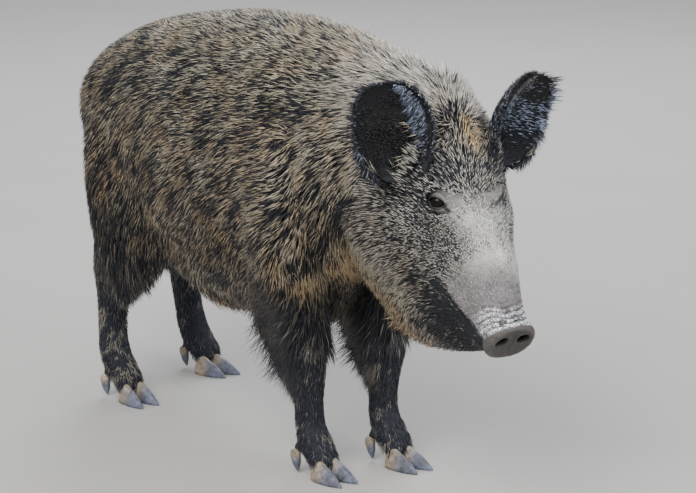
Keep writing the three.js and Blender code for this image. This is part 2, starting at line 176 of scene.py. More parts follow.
# The grain of the one skin, and how much fatter than themselves the ears go into it.
VOXEL = 0.0072
EAR_FAT = 5.0
# The start of each coat's random draws, and the tufts' width on ears and tail.
SEEDS = {"trunk": 11, "head": 12, "legs": 13, "tail": 14, "ears": 15}
SLIM = 0.0018
# How far from the skin a root may start out, by region.
REACH = {"trunk": 0.013, "head": 0.014, "by_ear": 0.012, "leg": 0.011, "ear": 0.018}
# Tufts to the square metre by region, and their numbers on each part of an ear.
TUFTS = {"body": 88000, "elbow": 130000, "head": 84000, "face": 150000, "muzzle": 190000}
TAIL_TUFTS = {"root": 130000, "tip": 90000}
EAR_TUFTS = {"back": 1800, "hollow": 2400, "rim": 1700, "fringe": 2000, "root": 700}
# The sides of a tuft's patch on the unwrap, and the share of the unwrap its roots lie in.
PATCH = 0.0028
UNWRAP_SHARE, UNWRAP_EDGE = 0.994, 0.001

CAMERA = {"azimuth": 53.5, "elevation": 14.5, "distance": 4.5, "target": (0.1383, 0.0038, 0.4)}
FOCAL_PIXELS = 2537
PICTURE_WIDTH = 696
SENSOR = 36.0
FLOOR_SIDE = 28.0
# Each light's place, what it is turned to, its side, power and colour.
LIGHTS = {
    "key": ((1.6, -3.0, 3.9), (0, 0, 0.4), 3.2, 270, (1.0, 0.98, 0.95)),
    "fill": ((4.2, 1.2, 2.4), (0.3, 0, 0.4), 2.6, 95, (0.93, 0.96, 1.0)),
    "rim": ((-2.8, 2.6, 3.4), (0, 0, 0.5), 2.4, 150, (0.95, 0.97, 1.0)),
}

# ------------------------------------------------------------------ small tools of arithmetic


def ramp(a, b, x):
    """0 before a and 1 after b, with the smooth cubic 3s^2 - 2s^3 between; b may be below a."""
    s = np.clip((x - a) / (b - a), 0, 1)
    return s * s * (3 - 2 * s)


def bell(x, centre, radius):
    """A bell curve of height 1: e to the minus square of the distance over the radius."""
    return np.exp(-(((x - centre) / radius) ** 2))


def unit(v):
    """Each vector over its own length."""
    return v / np.maximum(np.linalg.norm(v, axis=-1, keepdims=True), 1e-12)


def blend(a, b, share):
    """a where share is 0 and b where it is 1, for arrays of vectors."""
    share = np.asarray(share)[..., None]
    return a * (1 - share) + b * share


def bent(v, power):
    """The absolute value raised to a power, with its sign kept."""
    return np.sign(v) * np.abs(v) ** power


def angles_round(count):
    """That many even steps round a circle."""
    return np.linspace(0, FULL_TURN, count, endpoint=False)


def flattened(v, outward):
    """Vectors without the part of them that runs along outward."""
    return v - outward * (v * outward).sum(-1, keepdims=True)


def veered(v, outward, angle):
    """Vectors turned about outward by an angle each."""
    return v * np.cos(angle)[:, None] + np.cross(outward, v) * np.sin(angle)[:, None]


def turn_z(degrees):
    """The matrix that turns about Z."""
    c, s = math.cos(math.radians(degrees)), math.sin(math.radians(degrees))
    return np.array([[c, -s, 0], [s, c, 0], [0, 0, 1.0]])


def turn_y(degrees):
    """The matrix that turns about Y, from Z towards X."""
    c, s = math.cos(math.radians(degrees)), math.sin(math.radians(degrees))
    return np.array([[c, 0, s], [0, 1.0, 0], [-s, 0, c]])


def turn_x(degrees):
    """The matrix that turns about X, from Y towards Z."""
    c, s = math.cos(math.radians(degrees)), math.sin(math.radians(degrees))
    return np.array([[1.0, 0, 0], [0, c, -s], [0, s, c]])


# Three sets of eight waves, and what brings the mean of eight up to about 1.
RIPPLE_HEIGHT = 1.8
WAVES = np.random.default_rng(7).normal(size=(24, 3))
PHASES = np.random.default_rng(8).uniform(0, FULL_TURN, 24)


def ripple(p, size, pick=0):
    """A smooth wandering value from about -1 to 1: the mean of eight sine waves of that wave
    length, each along its own direction.
    """
    eight = slice(pick * 8, pick * 8 + 8)
    k = unit(WAVES[eight]) * (FULL_TURN / size)
    return np.sin(p @ k.T + PHASES[eight]).mean(axis=-1) * RIPPLE_HEIGHT


def gather(p, size):
    """The uphill direction of a ripple: following it brings neighbouring points together."""
    k = unit(WAVES[:8]) * (FULL_TURN / size)
    slope = np.cos(p @ k.T + PHASES[:8])
    return slope @ k * (size / FULL_TURN / 8) * RIPPLE_HEIGHT


# ------------------------------------------------------------------ the head's own frame

HEAD_TURN = turn_z(HEAD["yaw"]) @ turn_y(HEAD["pitch"])
EYE_MIDDLE = HEAD_TURN @ np.array([EYE["x"], 0, EYE["z"]]) + [HEAD["x"], HEAD["y"], HEAD["z"]]
EYE_CORNERS = np.array([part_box(f"eye_{side}") for side in EAR_POSE])
# The tables above are about a point that lies here in the frame.
ORIGIN = EYE_MIDDLE * MM - EYE_CORNERS.mean(axis=(0, 1))
ORIGIN[2] = 0
HEAD_PLACE = np.array([HEAD["x"], HEAD["y"], HEAD["z"]]) * MM - ORIGIN


def from_head(p):
    """Points in the head's frame, in millimetres, placed in the frame of the whole."""
    return (p * MM) @ HEAD_TURN.T + HEAD_PLACE


def to_head(p):
    """Points of the whole in the head's frame, in millimetres."""
    return (p - HEAD_PLACE) @ HEAD_TURN / MM


# ------------------------------------------------------------------ lofts


class Loft:
    """Sections carried along a line, as a function of t, counted in sections, and turn, the
    angle round the section from its top. bare=1 gives the skin and bare=0 the coat's tips.
    """

    def __init__(self, rows, place, start=0.0, end=0.0):
        self.rows = np.array(rows, float)
        self.place = place
        self.start, self.end = start, end
        self.last = len(rows) - 1

    def sections(self, t):
        """Every column at t, along a Catmull-Rom spline whose end rows are repeated."""
        i = np.clip(np.floor(t).astype(int), 0, self.last - 1)
        s = np.clip(t - i, 0, 1)[..., None]
        a, b, c, d = (self.rows[np.clip(i + k, 0, self.last)] for k in (-1, 0, 1, 2))
        bend = (2 * a - 5 * b + 4 * c - d) * s**2 + (3 * b - a - 3 * c + d) * s**3
        return (2 * b + (c - a) * s + bend) / 2

    def at(self, t, turn, bare=1.0):
        """The surface: centre + up * reach * |cos|^(2/rounding) + side * half *
        |sin|^(2/rounding). Before the first and after the last section it closes in a dome, a
        quarter ellipse long.
        """
        t, turn = np.broadcast_arrays(t, turn)
        row = self.sections(np.clip(t, 0, self.last))
        pitch = np.radians(row[..., 3])
        over = np.cos(turn) >= 0
        before, after = np.clip(-t, 0, 1), np.clip(t - self.last, 0, 1)
        share = np.sqrt(np.maximum(1 - (before + after) ** 2, 0))
        ahead = after * self.end - before * self.start
        rounding = 2 / np.where(over, row[..., 7], row[..., 8])
        top, bottom = (row[..., k] - bare * row[..., k + 5] for k in (4, 5))
        reach = np.where(over, top, bottom)
        half = row[..., 6] - bare * row[..., 11]
        rise = reach * bent(np.cos(turn), rounding) * share
        across = half * bent(np.sin(turn), rounding) * share
        x = row[..., 0] + np.cos(pitch) * ahead + np.sin(pitch) * rise
        z = row[..., 2] - np.sin(pitch) * ahead + np.cos(pitch) * rise
        return self.place(np.stack([x, row[..., 1] + across, z], axis=-1))

    def span(self):
        """The range of t, domes included."""
        return (-1.0 if self.start else 0.0), self.last + (1.0 if self.end else 0.0)

    def grid(self, along, around, bare=1.0):
        """The surface on a grid, closest together where the domes close."""
        low, high = self.span()
        t = np.linspace(low, high, along)
        if self.start:
            t = np.where(t < 0, -np.sin(-t * math.pi / 2), t)
        if self.end:
            t = np.where(t > self.last, self.last + np.sin((t - self.last) * math.pi / 2), t)
        return self.at(t[:, None], angles_round(around)[None, :], bare)


def in_whole(p):
    """Points of the body's tables, placed in the frame of the whole."""
    return p * MM - ORIGIN


def kind_of(foot):
    """Whether a foot is a front or a hind one."""
    return foot.split("_")[0]


def from_foot(p, foot):
    """How far ahead of a foot each point lies, and how far out on the foot's side."""
    x, y, *_ = FEET[foot]
    return p[..., 0] - (x * MM - ORIGIN[0]), p[..., 1] * math.copysign(1, y)


def over_foot(foot):
    """What places the points of a leg's table over one foot, on its own side."""
    x, y, _, ahead = FEET[foot]
    side = math.copysign(1, y)

    def place(p):
        lead = ahead * np.clip((p[..., 2] - 40) / 90, 0, 1)
        return in_whole(p * [1, side, 1] + [x, y, 0] + lead[..., None] * [1, 0, 0])

    return place


def face_forms(p):
    """How far each point of the head, in its own frame, is pushed outward: a bell round every
    rise or hollow, on both sides.
    """
    folded = p.copy()
    folded[..., 1] = np.abs(folded[..., 1])
    push = np.zeros(p.shape[:-1])
    for x, y, z, radius, height in FACE_FORMS:
        push += height * np.exp(-((folded - [x, y, z]) ** 2).sum(axis=-1) / radius**2)
    return push


def on_head(p):
    """Points of the head's table, pushed by its forms away from its middle line and placed."""
    away = unit(p * [0, 1, 1] + [0, 0, 40])
    return from_head(p + away * face_forms(p)[..., None])


BODY = Loft(TORSO, in_whole, start=36, end=10)
FACE = Loft(SKULL, on_head, start=20)
LEG_ROWS = {"front": FORELEG, "hind": HINDLEG}
LEGS = {foot: Loft(LEG_ROWS[kind_of(foot)], over_foot(foot), start=30, end=3) for foot in FEET}
DOCK = Loft(TAIL, in_whole, start=6, end=5)


def ear_width(s):
    """Half an ear's width along it, as a share of the widest: a quarter sine wave up to its
    widest place, and a round closing from there.
    """
    swell = np.sin(math.pi / 2 * np.clip(s / EAR["widest_at"], 0, 1))
    closing = np.clip((s - EAR["widest_at"]) / (1 - EAR["widest_at"]), 0, 1)
    grown = EAR["base_share"] + (1 - EAR["base_share"]) * swell
    return np.where(s < EAR["widest_at"], grown, np.sqrt(np.maximum(1 - closing**2.3, 0)))


def ear_frame(side):
    """The turn of an ear and the place of its base, in the frame of the whole."""
    sign, turn, spread, nod = EAR_POSE[side]
    matrix = turn_z(HEAD["yaw"] + sign * turn) @ turn_x(-sign * spread) @ turn_y(nod)
    return matrix, from_head(np.array([EAR["x"], sign * EAR["y"], EAR["z"]], float))


def ear_at(side, s, t, behind):
    """An ear: s runs from base to tip, t from -1 to 1 across it along an arc that is curled
    tightest at the base, and behind is the distance outward from its inner face.
    """
    matrix, base = ear_frame(side)
    s, t, behind = np.broadcast_arrays(s, t, behind)
    curl = EAR["curl_at_base"] + (EAR["curl_at_tip"] - EAR["curl_at_base"]) * s
    radius = EAR["half"] * ear_width(s * EAR["closes_at"]) / np.sin(curl)
    back = (radius + behind) * np.cos(t * curl) - radius * np.cos(curl)
    across = (radius + behind) * np.sin(t * curl)
    lean = EAR["tip_lean"] * (s * EAR["closes_at"]) ** 2
    p = np.stack([lean - back, across, s * EAR["closes_at"] * EAR["length"]], axis=-1)
    return (p * MM) @ matrix.T + base


def ear_wall(s, t):
    """An ear's thickness, least at its rim and tip."""
    return EAR["wall"] * (1 - 0.5 * s) * (1 - 0.45 * t * t)


# ------------------------------------------------------------------ meshes


def tube_faces(rings, around, offset=0):
    """The triangles of a tube of rings, closed at both ends by strips from side to side."""
    r, k = np.meshgrid(np.arange(rings - 1), np.arange(around), indexing="ij")
    a, b = r * around + k, r * around + (k + 1) % around
    c, d = a + around, b + around
    sides = [np.stack(corners, -1).reshape(-1, 3) for corners in ((a, c, d), (a, d, b))]
    e = np.arange(around // 2 - 1)
    f, g, h = e + 1, around - 2 - e, around - 1 - e
    last = (rings - 1) * around
    first = np.concatenate([np.stack([e, f, g], -1), np.stack([e, g, h], -1)])
    return np.concatenate([*sides, first, first[:, ::-1] + last]) + offset


def joined(grids):
    """The points and triangles of several closed grids as one mesh."""
    points, faces, count = [], [], 0
    for grid in grids:
        points.append(grid.reshape(-1, 3))
        faces.append(tube_faces(grid.shape[0], grid.shape[1], count))
        count += len(points[-1])
    return np.concatenate(points), np.concatenate(faces)


def placed(name, data):
    """A new object in the scene, for a mesh, a light or a camera."""
    made = bpy.data.objects.new(name, data)
    bpy.context.scene.collection.objects.link(made)
    return made


def mesh_of(name, points):
    """A mesh that has points and no faces yet."""
    mesh = bpy.data.meshes.new(name)
    mesh.vertices.add(len(points))
    mesh.vertices.foreach_set("co", np.ascontiguousarray(points, np.float32).ravel())
    return mesh


def new_mesh(name, points, faces, smooth=True):
    """A mesh object of whole arrays of points and triangles."""
    mesh = mesh_of(name, points)
    mesh.loops.add(faces.size)
    mesh.loops.foreach_set("vertex_index", np.ascontiguousarray(faces, np.int32).ravel())
    mesh.polygons.add(len(faces))
    mesh.polygons.foreach_set("loop_start", np.arange(0, faces.size, 3, dtype=np.int32))
    mesh.polygons.foreach_set("use_smooth", np.full(len(faces), smooth))
    mesh.update(calc_edges=True)
    return placed(name, mesh)


def places_of(obj):
    """An object's points as an array."""
    flat = np.empty(len(obj.data.vertices) * 3, np.float32)
    obj.data.vertices.foreach_get("co", flat)
    return flat.reshape(-1, 3).astype(float)


def set_places(obj, points):
    """Puts an array of points back into an object."""
    obj.data.vertices.foreach_set("co", np.ascontiguousarray(points, np.float32).ravel())
    obj.data.update()


def set_values(obj, name, values):
    """A value or a colour for each point, as an attribute for the material."""
    if values.ndim == 1:
        layer = obj.data.attributes.new(name, "FLOAT", "POINT")
        layer.data.foreach_set("value", values.astype(np.float32))
        return
    layer = obj.data.attributes.new(name, "FLOAT_COLOR", "POINT")
    four = np.ones((len(values), 4), np.float32)
    four[:, :3] = np.clip(values, 0, 1)
    layer.data.foreach_set("color", four.ravel())


def settle(obj):
    """Applies an object's modifiers to its mesh."""
    graph = bpy.context.evaluated_depsgraph_get()
    made = bpy.data.meshes.new_from_object(obj.evaluated_get(graph))
    old = obj.data
    obj.modifiers.clear()
    obj.data = made
    bpy.data.meshes.remove(old)


def snapped(points, target):
    """Each point moved to the nearest place on a target's surface."""
    seeds = placed("seeds", mesh_of("seeds", points))
    wrap = seeds.modifiers.new("wrap", "SHRINKWRAP")
    wrap.target = target
    settle(seeds)
    found = places_of(seeds)
    mesh = seeds.data
    bpy.data.objects.remove(seeds)
    bpy.data.meshes.remove(mesh)
    return found


def finish_piece(obj, material, replaces=()):
    """Gives a piece its material and slot, and lets it ride on the one body."""
    obj.data.materials.clear()
    obj.data.materials.append(material)
    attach(obj, "root")
    if replaces:
        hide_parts(*replaces)


# ------------------------------------------------------------------ user settings


def colour(name, description, default):
    """A colour that the user can change."""
    return FloatVectorProperty(
        name=name, description=description, subtype="COLOR", size=3, min=0, max=1, default=default
    )


def length(name, description, default):
    """A length that the user can change."""
    return FloatProperty(
        name=name, description=description, default=default, min=0.0005, max=0.2, unit="LENGTH"
    )


class BoarColours(bpy.types.PropertyGroup):
    """Colours of hair, skin and horn."""

    black: colour("Black hair", "Guard hair of legs, jaw and flank", (0.0095, 0.0118, 0.0185))
    brown: colour("Brown root", "Root of the body's hair", (0.022, 0.020, 0.021))
    straw: colour("Straw tips", "Tips over shoulder, neck and back", (0.55, 0.495, 0.38))
    ochre: colour("Ochre tips", "Tips of the ruff's edge and forehead's patch", (0.64, 0.46, 0.25))
    rust: colour("Rust tips", "Tips over flank and belly", (0.375, 0.275, 0.165))
    silver: colour("Silver tips", "Tips on crown, face and muzzle", (0.66, 0.64, 0.62))
    blue: colour("Ear hair", "Blue-black hair of the ears", (0.008, 0.009, 0.014))
    # sheen is a painted highlight: the sky's blue-grey reflected off black hair on ear rims and
    # legs.
    sheen: colour("Ear rim hair", "Pale blue-grey hair along the ears' rims", (0.27, 0.315, 0.42))
    skin: colour("Bare skin", "Skin at the side of the muzzle", (0.24, 0.215, 0.22))
    lid: colour("Lids", "Bare skin round the eyes", (0.21, 0.185, 0.155))
    disc: colour("Snout disc", "Bare skin of the snout disc", (0.043, 0.037, 0.034))
    # mud: pale dried mud, its blue-white partly a painted highlight where the snout's top faces
    # the sky.
    mud: colour("Dried mud", "Cracked mud behind the snout disc", (0.93, 0.95, 1.0))
    earth: colour("Leg mud", "Mud on the legs", (0.40, 0.36, 0.29))
    horn: colour("Horn", "Hooves towards their tips", (0.135, 0.15, 0.21))
    coronet: colour("Coronet", "Hooves at their top edge", (0.36, 0.29, 0.21))


class BoarCoat(bpy.types.PropertyGroup):
    """Lengths and widths of the tufts, by region."""

    trunk: length("Trunk", "Hair length on the trunk", 0.036)
    mane: length("Mane", "Hair length along nape and withers", 0.050)
    ruff: length("Ruff", "Hair length on the cheeks' ruff", 0.036)
    fringe: length("Fringe", "Hair length on belly and thigh edge", 0.054)
    crown: length("Crown", "Hair length between the ears", 0.024)
    muzzle: length("Muzzle", "Hair length on the muzzle", 0.0065)
    leg: length("Leg", "Hair length on the lower legs", 0.017)
    ear: length("Ear", "Hair length on the ears", 0.019)
    width: length("Tuft width", "Width of a body tuft", 0.0023)
    fine: length("Face tuft width", "Width of a tuft on the muzzle", 0.0011)


def hue(name):
    """One of the user's colours as an array."""
    return np.array(getattr(bpy.context.scene.boar_colours, name))


def hair(name):
    """One of the user's coat lengths."""
    return getattr(bpy.context.scene.boar_coat, name)


# ------------------------------------------------------------------ regions and markings


def leg_share(p):
    """1 on the legs and 0 on the trunk: a bell fore and aft round each foot, below the elbow."""
    share = ramp(0.25, 0.20, p[..., 2])
    for foot in FEET:
        middle, reach, top, fade = LEG_COAT[kind_of(foot)]
        ahead, out = from_foot(p, foot)
        near = bell(ahead, middle, reach) * ramp(0.0, 0.04, out)
        share = np.maximum(share, near * ramp(top, top - fade, p[..., 2]))
    return share


def face_of(p, on_face):
    """A point's place in the head's frame, and how much it belongs to the face: nothing unless
    it grows on the head's own surface.
    """
    h = to_head(p)
    share = ramp(-56, 20, h[..., 0]) if on_face else np.zeros(p.shape[:-1])
    return h[..., 0], h[..., 1], h[..., 2], share


def jaw_share(x, z):
    """1 on the black lower jaw and the corner of the mouth, below the line of the lips."""
    line = -9 - 9 * bell(x, 300, 34) - 0.75 * np.clip(262 - x, 0, 90)
    return ramp(line + 4, line - 6, z) * ramp(212, 272, x)


def bridge(x, side, z):
    """1 where the top of the nose is silver, reaching lower on its left side."""
    high = z + 0.35 * np.maximum(side, 0) + 0.15 * np.clip(x - 190, 0, 100)
    return ramp(116, 190, x) * ramp(24, 50, high) * ramp(300, 238, x - 0.6 * np.maximum(side, 0))


def body_markings(p, clump, legs):
    """The tips' colours and the share of pale hair on trunk, neck and legs: straw and ochre
    above, rust on the flank, paler from the nape up to the crown, and dark on the legs.
    """
    x, z = p[:, 0], p[:, 2]
    flank = ramp(0.62, 0.44, z) * ramp(0.30, 0.10, x)
    warmth = np.clip(0.20 + 0.36 * flank + 0.45 * ripple(p, 0.085, 0), 0, 1)
    tips = blend(np.tile(hue("straw"), (len(p), 1)), hue("rust"), warmth)
    tips = blend(tips, hue("ochre"), 0.5 * ramp(0.25, 0.75, ripple(p, 0.07, 2)))
    pale = 0.47 + 0.10 * ripple(p, 0.15, 1) + 0.52 * clump
    pale = pale + 0.10 * ramp(0.62, 0.74, z) - 0.02 * ramp(0.46, 0.32, z)
    pale = pale - 0.12 * ramp(-0.26, -0.46, x)

    nape = ramp(0.14, 0.36, x) * ramp(0.60, 0.74, z)
    pale = pale + (0.20 + 0.22 * ramp(0.34, 0.42, x)) * nape
    pale = pale + 0.16 * bell(x, 0.27, 0.09) * ramp(0.50, 0.62, z)
    tips = blend(tips, 0.45 * hue("straw") + 0.55 * hue("silver"), nape)
    pale = pale - 0.26 * bell(x, 0.305, 0.05) * bell(z, 0.53, 0.06)

    pale = pale * (1 - legs) + (0.18 + 0.16 * clump) * legs
    thigh = ramp(0.26, 0.36, z)[:, None]
    # Tips of the legs: rust hair and a painted blue-grey sheen, which fades up the thigh.
    rust_and_sheen = (0.20 + 0.35 * thigh) * hue("rust") + (0.34 - 0.28 * thigh) * hue("sheen")
    return blend(tips, rust_and_sheen, legs), pale


def head_markings(x, side, z, face, clump, tips, pale):
    """The same over the head: grey brow and cheeks, a straw and ochre ruff, which runs on over
    the neck, and an ochre patch on the left of the forehead.
    """
    crown = face * ramp(46, -30, x) * ramp(30, 70, z)
    tips = blend(tips, 0.42 * hue("silver") + 0.42 * hue("straw"), face * ramp(-70, 0, z))
    tips = blend(tips, 0.46 * (hue("silver") + hue("straw")), 0.5 * face * ramp(0, -60, z))
    pale = blend(pale[:, None], (0.53 + 0.32 * clump)[:, None], face)[:, 0]
    pale = pale + 0.50 * crown + 0.26 * face * ramp(-50, -110, z)
    tips = blend(tips, 1.25 * hue("straw"), 0.8 * face * ramp(-90, -150, z))
    ruff = (1 - face) * ramp(52, 84, x) * ramp(-130, -185, z)
    ruff = ruff * ramp(-350, -300, z) * ramp(150, 110, x)
    edge = np.clip(face * ramp(-150, -205, z) + ruff, 0, 1)
    tips = blend(tips, hue("ochre"), 0.75 * edge)
    pale = pale + 0.34 * ruff
    spot = face * bell(x, 47, 28) * bell(side, 22, 16) * ramp(30, 60, z)
    tips = blend(tips, 1.2 * hue("ochre"), np.clip(1.9 * spot, 0, 1))
    brow = face * bell(x, 98, 20) * bell(z, 66, 22) * ramp(18, 34, np.abs(side))
    return tips, pale + 1.2 * spot - 0.16 * brow


def muzzle_markings(x, side, z, face, clump, chance, tips, pale):
    """The same over the muzzle, with its bare share and the jaw's: silver above, mauve at the
    sides, and black below the lips.
    """
    top = face * bridge(x, side, z)
    flat = face * ramp(236, 282, x + 0.3 * z) * (1 - top)
    bare = np.clip(top + flat, 0, 1)
    # The top's silver hair, brightened further as a painted highlight where it faces the sky.
    tips = blend(tips, 1.42 * hue("silver"), top)
    fine = (np.mod(chance * 7.3, 1.0) < 0.27)[:, None]
    tips = blend(tips, np.where(fine, 0.66 * hue("silver"), 0.84 * hue("skin")), flat)
    pale = pale + (0.42 - 0.17 * ramp(250, 205, x)) * bare
    jaw = face * jaw_share(x + 12 + 34 * (clump - 0.4), z) * (1 - 0.8 * ramp(-115, -185, z))
    tips = blend(tips, 0.34 * (hue("straw") + hue("silver")), jaw)
    return tips, pale * (1 - jaw) + (0.05 + 0.15 * clump) * jaw, bare, jaw


def markings(p, chance, on_face):
    """The tip and root colours of a hair at each point. chance is a random number for each,
    that decides whether the hair is pale or dark where the coat mixes both.
    """
    x, side, z, face = face_of(p, on_face)
    clump = 0.55 * ripple(p, 0.027, 2) + 0.45 * ripple(p, 0.062, 1) + 0.25 * ripple(p, 0.013, 0)
    legs, ears = leg_share(p), by_ear(p)
    tips, pale = body_markings(p, clump, legs)
    tips, pale = head_markings(x, side, z, face, clump, tips, pale)
    pale = pale - 0.05 * face * ears
    tips, pale, bare, jaw = muzzle_markings(x, side, z, face, clump, chance, tips, pale)

    chosen = ramp(-0.03, 0.03, pale - chance)
    shade = 0.66 + 0.58 * np.mod(chance * 37.7, 1.0)
    shade = (shade * (1 - 0.25 * bare) + 0.25 * bare)[:, None]
    # Dark hair made lighter: a painted blue-grey sheen on the lower legs, greyer hair on the face.
    grey = 2.0 * legs * ramp(0.28, 0.20, p[:, 2]) + 1.4 * face * ramp(-40, 20, z) * (1 - ears)
    dark = hue("black") * (1 + grey)[:, None]
    mixed = blend(dark * shade, tips * shade, chosen)

    # Dried mud on the lower legs, most of it on the right hind leg.
    dried = 0.6 * ripple(p, 0.016, 0) + 0.6 * ripple(p, 0.05, 2)
    dried = dried + 0.38 * ramp(-0.3, -0.4, p[:, 0]) * (p[:, 1] < 0)
    fleck = legs * ramp(0.34, 0.20, p[:, 2]) * ramp(0.42, 0.60, dried)
    mixed = blend(mixed, hue("earth"), 0.9 * fleck)
    root = blend(np.tile(hue("brown"), (len(p), 1)), hue("black"), np.mod(chance * 11.3, 1.0))
    return mixed, blend(root, 0.62 * tips, bare * (1 - jaw))


# ------------------------------------------------------------------ the lie of the coat


def hanging(p):
    """1 where the coat hangs in a fringe: under the chest, below the fold of the flank and down
    the front of each thigh.
    """
    x, y, z = p[..., 0], p[..., 1], p[..., 2]
    chest = bell(x, 0.19, 0.075) * ramp(0.37, 0.30, z) * ramp(0.11, 0.07, np.abs(y))
    fold = bell(x, -0.18, 0.05) * ramp(0.34, 0.28, z)
    found = np.maximum(chest, fold) * ramp(0.235, 0.255, z)
    for foot in ("hind_right", "hind_left"):
        ahead, out = from_foot(p, foot)
        near = ramp(-0.03, 0.01, ahead) * ramp(0.12, 0.09, ahead) * (out > 0)
        found = np.maximum(found, 0.8 * near * ramp(0.19, 0.22, z) * ramp(0.37, 0.31, z))
    return found


def far_cheek(p, on_face):
    """1 on the left side of the nose, where the hair stands off it in a soft edge."""
    h = to_head(p)
    return on_face * bell(h[:, 0], 220, 55) * ramp(24, 44, h[:, 1]) * bell(h[:, 2], 12, 38)


def behind_elbow(p):
    """1 on the back half of each foreleg from above the elbow to the knee."""
    found, z = np.zeros(p.shape[:-1]), p[..., 2]
    for foot in ("front_right", "front_left"):
        ahead, out = from_foot(p, foot)
        near = ramp(0.015, -0.02, ahead) * ramp(-0.16, -0.12, ahead) * (out > 0)
        found = np.maximum(found, near * ramp(0.12, 0.17, z) * ramp(0.37, 0.30, z))
    return found


def lie(p, outward, on_face):
    """The comb direction at each point: a flow through space, flattened onto the surface.

    On the body it runs back and down, nearly level along the spine, steeper down the flank,
    straight down on thigh and leg, and forward of down where the neck folds behind the cheek.
    On the head it runs from the snout up the forehead, fanning outward, and down the cheeks.
    """
    x, side, z, face = face_of(p, on_face)
    steep = np.interp(p[:, 2], [0.30, 0.42, 0.52, 0.62, 0.72, 0.80], [64, 54, 44, 30, 17, 8])
    thigh = ramp(-0.14, -0.32, p[:, 0]) * ramp(0.70, 0.50, p[:, 2])
    steep = steep + (82 - steep) * thigh
    steep = steep + 40 * bell(p[:, 0], 0.275, 0.09) * bell(p[:, 2], 0.555, 0.09)
    steep = steep - 20 * bell(p[:, 0], 0.10, 0.09) * bell(p[:, 2], 0.50, 0.09)
    steep = steep + (86 - steep) * ramp(0.30, 0.22, p[:, 2])
    steep = steep + (88 - steep) * hanging(p)
    steep = steep + (46 - steep) * behind_elbow(p)
    ruff = ramp(30, 80, x) * ramp(-110, -185, z) * ramp(-360, -300, z) * (1 - face)
    steep = np.radians(steep + (100 - steep) * ruff)
    body = np.stack([-np.cos(steep), 0 * steep, -np.sin(steep)], axis=-1)

    turn = np.interp(z, [-220, -150, -90, -30, 15, 60], [104, 96, 76, 50, 26, 6])
    turn = np.radians(turn * (1 - 0.72 * ramp(215, 290, x) * ramp(-60, -25, z)))
    fan = 0.62 * ramp(-20, 30, z) * ramp(0, 36, np.abs(side)) * ramp(210, 130, x) + 0.10
    head = np.stack([-np.cos(turn), np.sign(side) * fan, -np.sin(turn)], axis=-1)
    return unit(flattened(blend(body, head @ HEAD_TURN.T, face), outward))


def tuft_size(p, on_face):
    """Length and width of a tuft at each point."""
    x, side, z, face = face_of(p, on_face)
    spine = ramp(0.05, 0.34, p[..., 0]) * ramp(0.66, 0.76, p[..., 2])
    belly = ramp(0.34, 0.27, p[..., 2]) * ramp(-0.30, -0.2, p[..., 0])
    long = hair("trunk") + (hair("mane") - hair("trunk")) * spine
    long = long + (hair("fringe") - hair("trunk")) * belly
    legs = ramp(0.32, 0.20, p[..., 2])
    long = long + (hair("leg") - long) * legs * (1 - 0.75 * behind_elbow(p)) + 0.026 * hanging(p)
    wide = hair("width") * (1 - 0.38 * legs)
    short = hair("muzzle") + (hair("crown") - hair("muzzle")) * ramp(205, 20, x)
    short = short + (hair("ruff") - short) * ramp(-12, -90, z) * ramp(350, 270, x)
    near = bell(np.hypot(x - EYE["x"], z - EYE["z"]), 0, 30) * ramp(25, 40, np.abs(side))
    short = short * (1 - 0.5 * near)
    coarse = np.maximum(0.5 * ramp(205, 30, x), ramp(0, -120, z))
    slim = hair("fine") + (hair("width") - hair("fine")) * coarse
    return long + (short - long) * face, wide + (slim - wide) * face


def tuft_density(p, on_face):
    """Tufts to the square metre at each point."""
    x, _, z, face = face_of(p, on_face)
    body = TUFTS["body"] + TUFTS["elbow"] * behind_elbow(p)
    head = TUFTS["head"] + TUFTS["face"] * ramp(30, 150, x) * ramp(-90, -20, z)
    head = head + TUFTS["muzzle"] * ramp(190, 230, x) * ramp(-26, -14, z)
    head = head * (1 - 0.80 * ramp(318, 345, x) * ramp(-30, -10, z))
    return body + (head - body) * face


# ------------------------------------------------------------------ the skin


def eye_frame(sign):
    """The eye's centre and the rows of its frame, in the head's frame: along the opening to its
    inner corner, out along the gaze, and up across the opening.
    """
    centre = np.array([EYE["x"], sign * (EYE["y"] - EYE["sunk"] * EYE["radius"]), EYE["z"]])
    gaze = unit(np.array([0.26, sign * 0.90, 0.34]))
    along = np.array([0.68, 0, 0.73])
    along = unit(along - gaze * (along @ gaze))
    return centre, np.stack([along, gaze, np.cross(along, gaze) * sign])


def lid_gaps(along, up):
    """How far a point lies above the upper and below the lower edge of the eye's opening, and
    outside the opening as a whole. The edges are arcs that meet in pointed corners.
    """
    arc = np.maximum(1 - (along / LIDS["half"]) ** 2, 0) ** 0.62
    above, below = up - LIDS["top"] * arc, -up - LIDS["bottom"] * arc
    beyond = np.hypot(np.maximum(np.abs(along) - LIDS["half"], 0), up)
    outside = np.where(np.abs(along) < LIDS["half"], np.maximum(above, below), beyond)
    return above, below, outside


